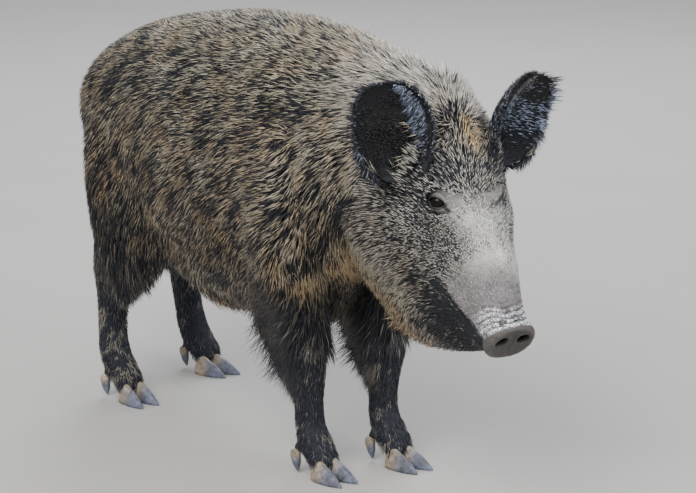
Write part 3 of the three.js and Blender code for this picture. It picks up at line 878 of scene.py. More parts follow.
def lids(h, marks):
    """Skin laid over each eyeball as lids, sunk behind it inside their opening, with a thick
    margin, a band above it that ends in a crease, and two folds below.
    """
    radius = EYE["radius"]
    for sign in (-1, 1):
        centre, axes = eye_frame(sign)
        q = (h - centre) @ axes.T
        along, up = q[:, 0], q[:, 2]
        across = np.hypot(along, up)
        near = (across < 36) & (q[:, 1] > -18)
        above, below, outside = lid_gaps(along, up)
        wide = ramp(21, 14, np.abs(along))
        dome = radius + 1.5 - across**2 / (2.1 * radius)
        hold = ramp(29, 16, across)
        out = q[:, 1] * (1 - hold) + hold * dome
        folds = 1.4 * bell(outside, 1.4, 1.5)
        for gap, rows in ((above, LID_FOLDS["above"]), (below, LID_FOLDS["below"])):
            folds += wide * sum(height * bell(gap, place, half) for height, place, half in rows)
        out = out + folds * ramp(34, 26, across)
        ball = np.sqrt(np.maximum(radius**2 - across**2, 0))
        out = np.where(outside < 0, np.minimum(radius - 5.0, ball - 3.5), out)
        q[:, 1] = np.where(near, out, q[:, 1])
        h = np.where(near[:, None], q @ axes + centre, h)
        # The dark edge of the lids, widened at the outer corner for the lashes and their painted
        # shadow; crease is painted shade in the fold above the opening and in the one below it.
        margin = np.where(above > below, 3.4, 2.6) + 2.6 * ramp(-6, -16, along)
        rim = bell(outside, 0.6, margin)
        crease = 0.75 * wide * bell(above, 7.5, 1.0) + 0.45 * wide * bell(below, 4.5, 0.9)
        tear = tear_line(along, up, 2.6 + 1.2 * (sign > 0))
        marks["lid"] = np.maximum(marks["lid"], near * np.clip(rim + crease + tear, 0, 1))
        marks["pale"] = np.maximum(marks["pale"], near * bare_round_eye(along, up))
    return h


def tear_line(along, up, half):
    """1 on the dark line of the given half width, that runs steeply down from the inner corner
    of the eye, and 0 beyond it.
    """
    along, up = along - 14, up + 2
    down, beside = 0.34 * along - 0.94 * up, 0.94 * along + 0.34 * up
    return bell(beside, 0, half) * ramp(-3, 1, down) * ramp(24, 12, down)


def bare_round_eye(along, up):
    """1 on the bare upper lid and on the bare strip that runs from it down the side of the
    nose, and 0 beyond them.
    """
    above, _, _ = lid_gaps(along, up)
    band = 0.65 * ramp(1.0, 2.6, above) * ramp(8.5, 7.0, above)
    band = band * ramp(21, 15, along) * ramp(-12, 0, along)
    along = along - 33
    down, beside = 0.51 * along - 0.86 * up, 0.86 * along + 0.51 * up
    strip = bell(beside, -2, 6) * ramp(-20, -8, down) * ramp(16, 4, down)
    return np.clip(band + strip, 0, 1)


def muzzle(h, marks):
    """The snout disc with its thick rim and nostrils, the folds behind it and the mouth."""
    tilt = turn_y(NOSE["lean"])
    middle = np.array([NOSE["x"], 0, NOSE["z"]])
    q = (h - middle) @ tilt
    reach = np.where(q[:, 2] > 0, NOSE["up"], NOSE["down"])
    round_off = np.hypot(q[:, 1] / NOSE["half"], q[:, 2] / reach)
    front = ramp(2, 12, q[:, 0])
    q[:, 0] += front * (2.2 * bell(round_off, 0.88, 0.12) - 1.0 * ramp(0.85, 0.3, round_off))
    q[:, 0] -= front * 1.4 * bell(q[:, 1], 0, 3.5) * ramp(0.95, 0.5, round_off)
    for sign, slant in NOSTRIL_SLANT.items():
        slope = math.radians(slant)
        y, z = q[:, 1] - sign * NOSTRIL["y"], q[:, 2] - NOSTRIL["z"]
        a = (y * math.cos(slope) + z * math.sin(slope)) / NOSTRIL["half"]
        b = (-y * math.sin(slope) + z * math.cos(slope)) / NOSTRIL["rise"]
        off = np.hypot(a, b)
        q[:, 0] += front * (1.6 * bell(off, 1.4, 0.3) - NOSTRIL["depth"] * ramp(1.12, 0.72, off))
        # Painted shade inside each nostril.
        marks["hollow"] = np.maximum(marks["hollow"], front * ramp(1.12, 0.85, off))
    marks["disc"] = np.maximum(marks["disc"], ramp(-5, 2, q[:, 0]))
    marks["rim"] = np.maximum(marks["rim"], front * bell(round_off, 0.95, 0.12))
    h = q @ tilt.T + middle

    # Folds across the top of the snout, deepest just behind the disc.
    upper = ramp(-22, 4, h[:, 2]) * ramp(318, 346, h[:, 0]) * ramp(374, 366, h[:, 0])
    bend = h[:, 0] + 0.09 * np.abs(h[:, 1]) ** 1.35 + 1.6 * np.sin(h[:, 1] * 0.19 + 0.6)
    crease = np.sin(bend * (math.pi / 9.5)) ** 4
    out = unit(np.stack([0 * h[:, 0], h[:, 1], h[:, 2] + 14], axis=-1))
    h = h + out * (upper * (1.8 - 4.2 * crease))[:, None]
    dried = ramp(-16, -2, h[:, 2]) * ramp(334, 346, bend)
    dried = dried * ramp(376, 371, h[:, 0]) * ramp(48, 38, np.abs(h[:, 1]))
    marks["mud"] = np.maximum(marks["mud"], dried)
    # Painted shade in the creases between the folds.
    marks["hollow"] = np.maximum(marks["hollow"], 0.75 * upper * ramp(0.6, 0.95, crease))

    # The mouth: the upper lip bulges over a groove that runs from its corner to under the disc.
    line = -29 + 4 * np.sin((h[:, 0] - 250) / 120 * math.pi) - 6 * ramp(335, 375, h[:, 0])
    along = ramp(236, 262, h[:, 0]) * ramp(374, 362, h[:, 0]) * ramp(16, 26, np.abs(h[:, 1]))
    gap = h[:, 2] - line
    lip = along * (4.6 * bell(gap, 14, 11) + 1.0 * bell(gap, -7, 5) - 5.0 * bell(gap, -1, 2.4))
    h = h + unit(h * [0, 1, 0.25]) * lip[:, None]
    # Painted shade in the groove under the upper lip.
    marks["hollow"] = np.maximum(marks["hollow"], 0.85 * along * bell(gap, -1, 2.4))
    return h


def refined(obj, test):
    """Cuts in four each face for which test holds, given the faces' middles in the head's
    frame.
    """
    mesh = bmesh.new()
    mesh.from_mesh(obj.data)
    middles = np.empty(len(obj.data.polygons) * 3, np.float32)
    obj.data.polygons.foreach_get("center", middles)
    chosen = np.flatnonzero(test(to_head(middles.reshape(-1, 3).astype(float))))
    mesh.faces.ensure_lookup_table()
    edges = list({edge for i in chosen for edge in mesh.faces[i].edges})
    bmesh.ops.subdivide_edges(mesh, edges=edges, cuts=1, use_grid_fill=True)
    bmesh.ops.triangulate(mesh, faces=[face for face in mesh.faces if len(face.verts) > 4])
    mesh.to_mesh(obj.data)
    mesh.free()


def snout_grid():
    """The head's bare surface, finely, with the snout disc standing on its end: the disc's rim
    swells to its full size and rounds over onto the flat front.
    """
    dome = -np.sin(np.linspace(1, 0, 8, endpoint=False) * math.pi / 2)
    t = np.concatenate([dome, np.linspace(0, FACE.last, 120)])
    turn = angles_round(144)
    head = FACE.at(t[:, None], turn[None, :])
    ahead = np.array([-3, 1, 6, 12, 16, 18.6, 19.6, 20, 20, 20, 20])
    share = np.array([0.80, 0.93, 0.99, 1.0, 0.99, 0.95, 0.90, 0.75, 0.5, 0.25, 0.02])
    c, s = np.cos(turn), np.sin(turn)
    power = 2 / 2.3
    y = NOSE["half"] * bent(s, power)
    z = np.where(c >= 0, NOSE["up"], NOSE["down"]) * bent(c, power)
    rings = np.broadcast_arrays(ahead[:, None], share[:, None] * y, share[:, None] * z)
    disc = np.stack(rings, axis=-1)
    disc = disc @ turn_y(NOSE["lean"]).T + [NOSE["x"], 0, NOSE["z"]]
    return np.concatenate([head, from_head(disc)])


def ear_grid(side, fat=0.0):
    """An ear's bare surface: rows from base to tip, each once round its front and back. fat
    thickens it on both faces.
    """
    s = np.linspace(-0.12, 1, 30)[:, None]
    t = np.linspace(1, -1, 17)[None, :]
    inset = EAR["coat"]
    rise = np.clip(s, 0, 1)
    front = ear_at(side, rise, t * 0.96, inset * 0.5 - fat)
    back = ear_at(side, rise, -t * 0.96, ear_wall(rise, t) - inset * 0.5 + fat)
    ring = np.concatenate([front, back], axis=1)
    down = ear_at(side, 0.0, 0.0, 0.0) - ear_at(side, 0.1, 0.0, 0.0)
    middle = ring.mean(axis=1, keepdims=True)
    ring = middle + (ring - middle) * (1 + 5.5 * np.minimum(s, 0))[..., None]
    return ring + np.minimum(s, 0)[..., None] * -10 * down


def to_ear(side, p):
    """Points in an ear's own frame, in millimetres: out of its opening, across it and up it."""
    matrix, base = ear_frame(side)
    return (p - base) @ matrix / MM


def ear_rise(side, p):
    """How far up an ear each point lies, as a share of its length, and -1 away from the ear."""
    q = to_ear(side, p)
    close = (np.abs(q[:, 1]) < 78) & (q[:, 0] > -60) & (q[:, 0] < 34) & (q[:, 2] < 170)
    return np.where(close, q[:, 2] / EAR["length"] / EAR["closes_at"], -1)


def in_cup(p):
    """1 inside the hollow of either ear: an ellipse across its opening, above a line that rises
    towards the forehead, whose coat grows over the foot of the ear.
    """
    found = np.zeros(len(p))
    for side, (sign, *_) in EAR_POSE.items():
        q = to_ear(side, p)
        off = np.hypot((q[:, 0] + 22) / 34, q[:, 1] / 44)
        grown = ramp(-4, 4, -6 - sign * q[:, 1] - 0.45 * q[:, 2]) * ramp(38, 26, q[:, 2])
        inside = ramp(1.1, 0.9, off) * (q[:, 2] > 0) * (q[:, 2] < 150)
        found = np.maximum(found, inside * (1 - grown))
    return found


def by_ear(p):
    """1 close to the foot of either ear."""
    found = np.zeros(len(p))
    for side in EAR_POSE:
        q = to_ear(side, p)
        found = np.maximum(found, (np.linalg.norm(q - (-22, 0, 5), axis=1) < 62).astype(float))
    return found


def heel_pad(foot, sign):
    """The soft stem from pastern to dewclaw: a rounded rod between two points, its radius
    shrinking along it and rounded off at both ends by a quarter circle.
    """
    x, y, *_ = FEET[foot]
    along = np.linspace(0, 1, 13)
    start = np.array([x - 2, y + sign * 10, 58.0])
    out, rise = sign * DEWCLAW["apart"], DEWCLAW["rise"] + 12.0
    end = np.array([x - DEWCLAW["behind"] - 4, y + out, rise])
    ends = np.sqrt(np.clip(1 - (np.abs(along - 0.5) * 2) ** 6, 0.01, 1))
    radius = ((13 - 3.5 * along) * ends)[:, None, None]
    turn = angles_round(16)[:, None]
    way = unit(end - start)
    one = unit(np.cross(way, [0, 0, 1.0]))
    two = np.cross(way, one)
    round_it = np.cos(turn) * one + np.sin(turn) * two
    return in_whole(start + along[:, None, None] * (end - start) + radius * round_it)


FLESH = ["trunk", "neck", "head", "snout_disc", "ear_right", "ear_left", "tail", "tail_tuft"]
FLESH += [f"{part}_{foot}" for foot in FEET for part in LEG_PARTS[kind_of(foot)]]


class BOAR_OT_skin(bpy.types.Operator):
    """Makes the one skin that lies under the whole coat"""

    bl_idname = "boar.skin"
    bl_label = "Skin"

    def execute(self, context):
        legs = [leg.grid(70, 36) for leg in LEGS.values()]
        pads = [heel_pad(foot, sign) for foot in FEET for sign in (-1, 1)]
        ears = [ear_grid(side, EAR_FAT) for side in EAR_POSE]
        parts = [BODY.grid(90, 72), *legs, DOCK.grid(60, 20), *pads, snout_grid(), *ears]
        points, faces = joined(parts)
        skin = new_mesh("skin", points, faces)
        remesh = skin.modifiers.new("one_skin", "REMESH")
        remesh.mode = "VOXEL"
        remesh.voxel_size = VOXEL
        remesh.use_smooth_shade = True
        even = skin.modifiers.new("even", "SMOOTH")
        even.iterations = 5
        even.factor = 0.5
        settle(skin)

        refined(skin, on_ears)
        refined(skin, lambda h: (h[:, 0] > 95) & (h[:, 2] > -60) & (h[:, 0] < 420))
        refined(skin, near_eyes)
        points = places_of(skin)
        h = to_head(points)
        hold = ramp(85, 120, h[:, 0]) * ramp(-90, -50, h[:, 2])
        self.draw_to(points, hold, snout_grid(), 0.02)
        for side in EAR_POSE:
            self.draw_to(points, ramp(0.02, 0.15, ear_rise(side, points)), ear_grid(side), 0.012)
        set_places(skin, points)
        refined(skin, near_eyes)
        refined(skin, lambda h: (h[:, 0] > 336) & (h[:, 2] > -50))
        refined(skin, lambda h: (h[:, 0] > 374) & (h[:, 2] > -50))

        names = ("lid", "pale", "hollow", "disc", "rim", "mud")
        marks = {name: np.zeros(len(skin.data.vertices)) for name in names}
        points = places_of(skin)
        h = muzzle(lids(to_head(points), marks), marks)
        front = (h[:, 0] > 90) & (h[:, 2] > -150)
        points[front] = from_head(h)[front]
        set_places(skin, points)
        paint_skin(skin, points, {name: value * front for name, value in marks.items()})
        finish_piece(skin, skin_material(), FLESH)
        return {"FINISHED"}

    @staticmethod
    def draw_to(points, hold, grid, reach):
        """Draws points onto a finer surface by their share of hold, unless it is out of reach."""
        model = new_mesh("model", *joined([grid]))
        close = hold > 0
        found = snapped(points[close], model)
        off = np.linalg.norm(found - points[close], axis=1)
        share = hold[close] * ramp(reach, reach * 0.8, off)
        points[close] = blend(points[close], found, share)
        bpy.data.meshes.remove(model.data)


def near_eyes(h):
    """Where the skin is made finer for the lids."""
    found = np.zeros(len(h), bool)
    for sign in (-1, 1):
        centre, _ = eye_frame(sign)
        found |= np.linalg.norm(h - centre, axis=1) < 27
    return found


def on_ears(h):
    """Where the skin is made finer for the ears."""
    p = from_head(h)
    return np.maximum(*(ear_rise(side, p) for side in EAR_POSE)) > 0.02


def paint_skin(skin, points, marks):
    """The skin's colour under the coat, and where it is bare."""
    h = to_head(points)
    x, z = h[:, 0], h[:, 2]
    on_head = points[:, 0] > 0.3
    tint = blend(np.tile(hue("brown"), (len(points), 1)), hue("black"), leg_share(points))
    top = bridge(x, h[:, 1], z) * on_head
    flat = ramp(230, 280, x + 0.3 * z) * (1 - jaw_share(x, z)) * ramp(-34, -20, z) * on_head
    bare = np.clip(top + flat, 0, 1)
    tint = blend(tint, 0.85 * hue("skin"), bare)
    tint = blend(tint, 0.72 * hue("silver"), top * ramp(340, 300, x))
    tint = blend(tint, 0.6 * hue("skin"), bare * ramp(305, 335, x))
    tint = blend(tint, 0.6 * hue("black"), on_head * jaw_share(x, z))
    tint = blend(tint, 0.8 * hue("black"), by_ear(points))
    ears = [ramp(0.0, 0.10, ear_rise(side, points)) for side in EAR_POSE]
    # The ears' skin is blue-black; inside the hollows this dark is also painted shade.
    tint = blend(tint, 0.2 * hue("blue"), np.maximum(np.maximum(*ears), in_cup(points)))
    tint = blend(tint, hue("lid"), marks["pale"])
    tint = blend(tint, hue("disc"), marks["disc"])
    tint = blend(tint, 1.9 * hue("disc"), 0.8 * marks["rim"])
    # Dark lid edges and tear lines, with painted shade in the creases and painted shadow by the
    # lashes.
    tint = blend(tint, 0.4 * hue("black"), np.clip(marks["lid"], 0, 1) * 0.95)
    # The hollow mark is painted shade: in the nostrils, the folds' creases and the mouth's groove.
    tint = blend(tint, 0.2 * hue("black"), np.clip(marks["hollow"], 0, 1))
    set_values(skin, "tint", tint)
    set_values(skin, "mud", np.clip(marks["mud"] * (1 - marks["hollow"]), 0, 1))
    set_values(skin, "bare", np.clip(np.maximum(bare, marks["disc"]), 0, 1))
    set_values(skin, "wet", np.clip(marks["hollow"] * marks["disc"] + marks["lid"], 0, 1))


# ------------------------------------------------------------------ tufts

# Where the rings of a short and of a long tuft lie, and their share of its width.
TUFT_RINGS = {"short": ((0.42,), (1.0,)), "long": ((0.28, 0.66), (1.0, 0.7))}
LONG_FROM = 0.062


def sprinkle(loft, density, rng, t_range, turn_range=(0, FULL_TURN), cells=(180, 180)):
    """Roots over a loft: t, turn and their share of the ranges. Each small cell of the surface
    gets its area times the density there, the fractions carried on from cell to cell.
    """
    t_edge = np.linspace(*t_range, cells[0] + 1)
    turn_edge = np.linspace(*turn_range, cells[1] + 1)
    corner = loft.at(t_edge[:, None], turn_edge[None, :])
    first = corner[:-1, :-1]
    area = np.linalg.norm(np.cross(corner[1:, :-1] - first, corner[:-1, 1:] - first), axis=-1)
    tips = loft.at(t_edge[:-1, None], turn_edge[None, :-1], 0.0)
    depth = np.linalg.norm(tips - first, axis=-1)
    wanted = np.cumsum(area * density(first) * (1 + 0.9 * ramp(0.026, 0.050, depth)))
    count = int(wanted[-1])
    cell = np.searchsorted(wanted, np.arange(count) + rng.uniform(0, 1, count))
    cell = np.minimum(cell, area.size - 1)
    i, j = np.divmod(cell, cells[1])
    u = (i + rng.uniform(0, 1, count)) / cells[0]
    v = (j + rng.uniform(0, 1, count)) / cells[1]
    t = t_range[0] + u * (t_range[1] - t_range[0])
    turn = turn_range[0] + v * (turn_range[1] - turn_range[0])
    return t, turn, np.stack([u, v], axis=-1)


def frame_on(loft, t, turn):
    """At each root: its place, the outward normal and the coat's depth."""
    step = 1e-3
    p = loft.at(t, turn)
    ahead = unit(loft.at(t + step, turn) - loft.at(t - step, turn))
    round_it = unit(loft.at(t, turn + step) - loft.at(t, turn - step))
    outward = unit(np.cross(round_it, ahead))
    centre = loft.at(t, turn * 0) * 0.5 + loft.at(t, turn * 0 + math.pi) * 0.5
    flip = np.sign(((p - centre) * outward).sum(axis=-1))[:, None]
    outward = outward * np.where(flip == 0, 1, flip)
    depth = ((loft.at(t, turn, 0.0) - p) * outward).sum(axis=-1)
    return p, outward, np.maximum(depth, 0.001)


def tufts(roots, kind, first):
    """The points, triangles and values of closed spindles, one for each root.

    A tuft's middle line is root + comb * run * s + outward * rise * s(2 - s) + pull * s^2, with
    s from 0 at the root to 1 at the tip. It widens from a point at the root to its rings, which
    are three-sided, and ends in a point.
    """
    levels, widths = TUFT_RINGS[kind]
    count, rings = len(roots["p"]), len(levels)
    s = np.array([0.0, *levels, 1.0])
    comb = unit(flattened(roots["comb"], roots["outward"]))
    long, rise = roots["length"][:, None], roots["rise"][:, None]
    run = np.sqrt(np.maximum(long**2 - rise**2, (0.4 * long) ** 2))
    start = roots["p"] - roots["outward"] * 0.0015
    middle = (
        start[:, None]
        + comb[:, None] * (run * s)[..., None]
        + roots["outward"][:, None] * (rise * s * (2 - s))[..., None]
        + roots["pull"][:, None] * (s**2)[None, :, None]
    )
    ahead = unit(middle[:, 2:] - middle[:, :-2])
    side = unit(np.cross(ahead, roots["outward"][:, None]))
    outward = np.cross(side, ahead)
    roll = roots["roll"][:, None, None]
    lean, turn = np.cos(roll), np.sin(roll)
    side, outward = side * lean + outward * turn, outward * lean - side * turn
    wide = np.array(widths)[None, :, None] * roots["width"][:, None, None]
    inner, half = middle[:, 1:-1], side * wide / 2
    ring = np.stack([inner - half, inner + half, inner + outward * wide * 0.4], axis=2)
    points = np.concatenate([middle[:, :1], ring.reshape(count, -1, 3), middle[:, -1:]], axis=1)
    per = points.shape[1]

    template = [(0, 1 + k, 1 + (k + 1) % 3) for k in range(3)]
    for level in range(rings - 1):
        for k in range(3):
            a, b = 1 + level * 3 + k, 1 + level * 3 + (k + 1) % 3
            template += [(b, a, a + 3), (b, a + 3, b + 3)]
    last = 1 + (rings - 1) * 3
    template += [(last + (k + 1) % 3, last + k, per - 1) for k in range(3)]
    faces = np.array(template)[None] + per * np.arange(count)[:, None, None]

    along = np.concatenate([[0.0], np.repeat(s[1:-1], 3), [1.0]])
    sideways = np.concatenate([[0.5], np.tile([0.0, 1.0, 0.5], rings), [0.5]])
    patch = np.stack([sideways * PATCH, along * PATCH], axis=-1)
    spot = (roots["uv"] * UNWRAP_SHARE + UNWRAP_EDGE)[:, None] + patch[None]
    return dict(
        points=points.reshape(-1, 3),
        faces=faces.reshape(-1, 3) + first,
        uv=spot.reshape(-1, 2),
        along=np.tile(along, count),
        tint=np.repeat(roots["tint"], per, axis=0),
        root_tint=np.repeat(roots["root_tint"], per, axis=0),
    )


def only(roots, chosen):
    """The chosen ones of the roots."""
    return {key: value[chosen] for key, value in roots.items()}


def together(parts):
    """Several sets of roots or of tufts as one."""
    return {key: np.concatenate([part[key] for part in parts]) for key in parts[0]}


def grow(name, roots):
    """One piece of coat, a tuft for each root, the long ones with a ring more than the short."""
    is_long = roots["length"] > LONG_FROM
    made, first = [], 0
    for kind, chosen in (("short", ~is_long), ("long", is_long)):
        if chosen.any():
            made.append(tufts(only(roots, chosen), kind, first))
            first += len(made[-1]["points"])
    whole = together(made)
    piece = new_mesh(name, whole["points"], whole["faces"])
    for key in ("along", "tint", "root_tint"):
        set_values(piece, key, whole[key])
    layer = piece.data.uv_layers.new(name="OFBake")
    spots = whole["uv"][whole["faces"].ravel()]
    layer.data.foreach_set("uv", spots.astype(np.float32).ravel())
    finish_piece(piece, coat_material())


def roots_on(loft, skin, rng, t_range, turn_range, limit, on_face=False):
    """The roots over part of a loft, laid on the skin, with all that grow needs. Where the coat
    is deep its tufts are longer, and their tips lie at every height up to the coat's depth.
    """
    t, turn, uv = sprinkle(loft, lambda p: tuft_density(p, on_face), rng, t_range, turn_range)
    p, outward, depth = frame_on(loft, t, turn)
    spot = snapped(p, skin)
    close = np.linalg.norm(spot - p, axis=1) < limit + REACH["by_ear"] * on_face * by_ear(p)
    kept = close & (in_cup(spot) < 0.5)
    uv, p, outward, depth = (value[kept] for value in (uv, spot, outward, depth))
    count, elbow = len(p), behind_elbow(p)
    wander = 12 * ripple(p, 0.13, 0) + 13 * ripple(p, 0.032, 1)
    wander = wander + rng.normal(0, 8, count) * (1 + elbow)
    comb = veered(lie(p, outward, on_face), outward, np.radians(wander * (1 - 0.5 * on_face)))
    long, wide = tuft_size(p, on_face)
    deep = ramp(0.026, 0.055, depth)
    long = long * rng.uniform(0.7, 1.25, count)
    long = np.maximum(long, depth * (1.2 + 0.25 * rng.uniform(0, 1, count)))
    lift = 1 - (0.42 + 0.40 * deep) * rng.uniform(0, 1, count) ** (1 + 0.6 * deep)
    cheek = far_cheek(p, on_face)
    long = long + 0.007 * cheek
    raised = 0.020 * hanging(p) + 0.009 * cheek
    rise = np.minimum(depth * lift + raised * rng.uniform(0.2, 1, count), long * 0.85)
    pull = gather(p, 0.019) * (np.minimum(long, 0.06) * 0.15)[:, None]
    tint, root_tint = markings(p, rng.uniform(0, 1, count), on_face)
    return dict(
        p=p,
        outward=outward,
        comb=comb,
        length=long,
        rise=rise,
        width=wide * (1 + 0.5 * deep) * (1 - 0.45 * elbow) * rng.uniform(0.7, 1.25, count),
        roll=rng.normal(0, 0.35, count),
        pull=flattened(pull, outward),
        uv=uv,
        tint=tint,
        root_tint=root_tint,
    )


class BOAR_OT_coat_trunk(bpy.types.Operator):
    """Grows the coat of trunk and neck"""

    bl_idname = "boar.coat_trunk"
    bl_label = "Coat of the trunk"

    def execute(self, context):
        skin = bpy.data.objects["skin"]
        rng = np.random.default_rng(SEEDS["trunk"])
        low, high = BODY.span()
        whole, left, right = (0, FULL_TURN), (0, math.pi), (math.pi, FULL_TURN)
        pieces = {
            "coat_rump": ((low, 2.1), whole),
            "coat_flank_left": ((2.1, 4.2), left),
            "coat_flank_right": ((2.1, 4.2), right),
            "coat_shoulder_left": ((4.2, 6.2), left),
            "coat_shoulder_right": ((4.2, 6.2), right),
            "coat_neck": ((6.2, high), whole),
        }
        for name, (t_range, turn_range) in pieces.items():
            grow(name, roots_on(BODY, skin, rng, t_range, turn_range, REACH["trunk"]))
        return {"FINISHED"}


class BOAR_OT_coat_head(bpy.types.Operator):
    """Grows the short coat of the face and the ruff of the cheeks, clear of the eyes"""

    bl_idname = "boar.coat_head"
    bl_label = "Coat of the head"

    def execute(self, context):
        skin = bpy.data.objects["skin"]
        rng = np.random.default_rng(SEEDS["head"])
        for name, turn_range in {"left": (0, math.pi), "right": (math.pi, FULL_TURN)}.items():
            roots = roots_on(FACE, skin, rng, (-0.5, 8.92), turn_range, REACH["head"], True)
            h = to_head(roots["p"])
            clear = np.ones(len(h), bool)
            for sign in (-1, 1):
                centre, axes = eye_frame(sign)
                q = (h - centre) @ axes.T
                _, _, outside = lid_gaps(q[:, 0], q[:, 2])
                bare = (outside < 2.4) | (bare_round_eye(q[:, 0], q[:, 2]) > 0.5)
                bare |= tear_line(q[:, 0], q[:, 2], 5.0) > 0.4
                clear &= ~bare | (np.abs(q[:, 1]) > 24)
            grow(f"coat_head_{name}", only(roots, clear))
        return {"FINISHED"}


class BOAR_OT_coat_legs(bpy.types.Operator):
    """Grows the coat of each leg, with the long hair behind elbow and thigh"""

    bl_idname = "boar.coat_legs"
    bl_label = "Coat of the legs"

    def execute(self, context):
        skin = bpy.data.objects["skin"]
        rng = np.random.default_rng(SEEDS["legs"])
        for foot, leg in LEGS.items():
            roots = roots_on(leg, skin, rng, (-0.9, leg.last), (0, FULL_TURN), REACH["leg"])
            grow(f"coat_leg_{foot}", roots)
        return {"FINISHED"}


class BOAR_OT_coat_tail(bpy.types.Operator):
    """Grows the tail's hair and its tuft"""

    bl_idname = "boar.coat_tail"
    bl_label = "Coat of the tail"

    def execute(self, context):
        rng = np.random.default_rng(SEEDS["tail"])
        t, turn, uv = sprinkle(DOCK, self.density, rng, (0.3, DOCK.last))
        count = len(t)
        p, outward, depth = frame_on(DOCK, t, turn)
        down = unit(DOCK.at(t + 0.01, turn * 0) - DOCK.at(t, turn * 0))
        long = (0.016 + 0.042 * ramp(3.8, 5.2, t)) * rng.uniform(0.75, 1.2, count)
        tint, root_tint = markings(p, 0.35 + 0.65 * rng.uniform(0, 1, count), False)
        roots = dict(
            p=p,
            outward=outward,
            comb=down,
            length=long,
            rise=np.minimum(depth * rng.uniform(0.4, 1.0, count), long * 0.6),
            width=SLIM * rng.uniform(0.7, 1.3, count),
            roll=rng.normal(0, 0.4, count),
            pull=gather(p, 0.016) * 0.003,
            uv=uv,
            tint=0.6 * tint,
            root_tint=root_tint,
        )
        grow("coat_tail", roots)
        return {"FINISHED"}

    @staticmethod
    def density(p):
        """Tufts to the square metre, most of them in the tuft at the end."""
        return TAIL_TUFTS["root"] + TAIL_TUFTS["tip"] * ramp(0.46, 0.42, p[..., 2])


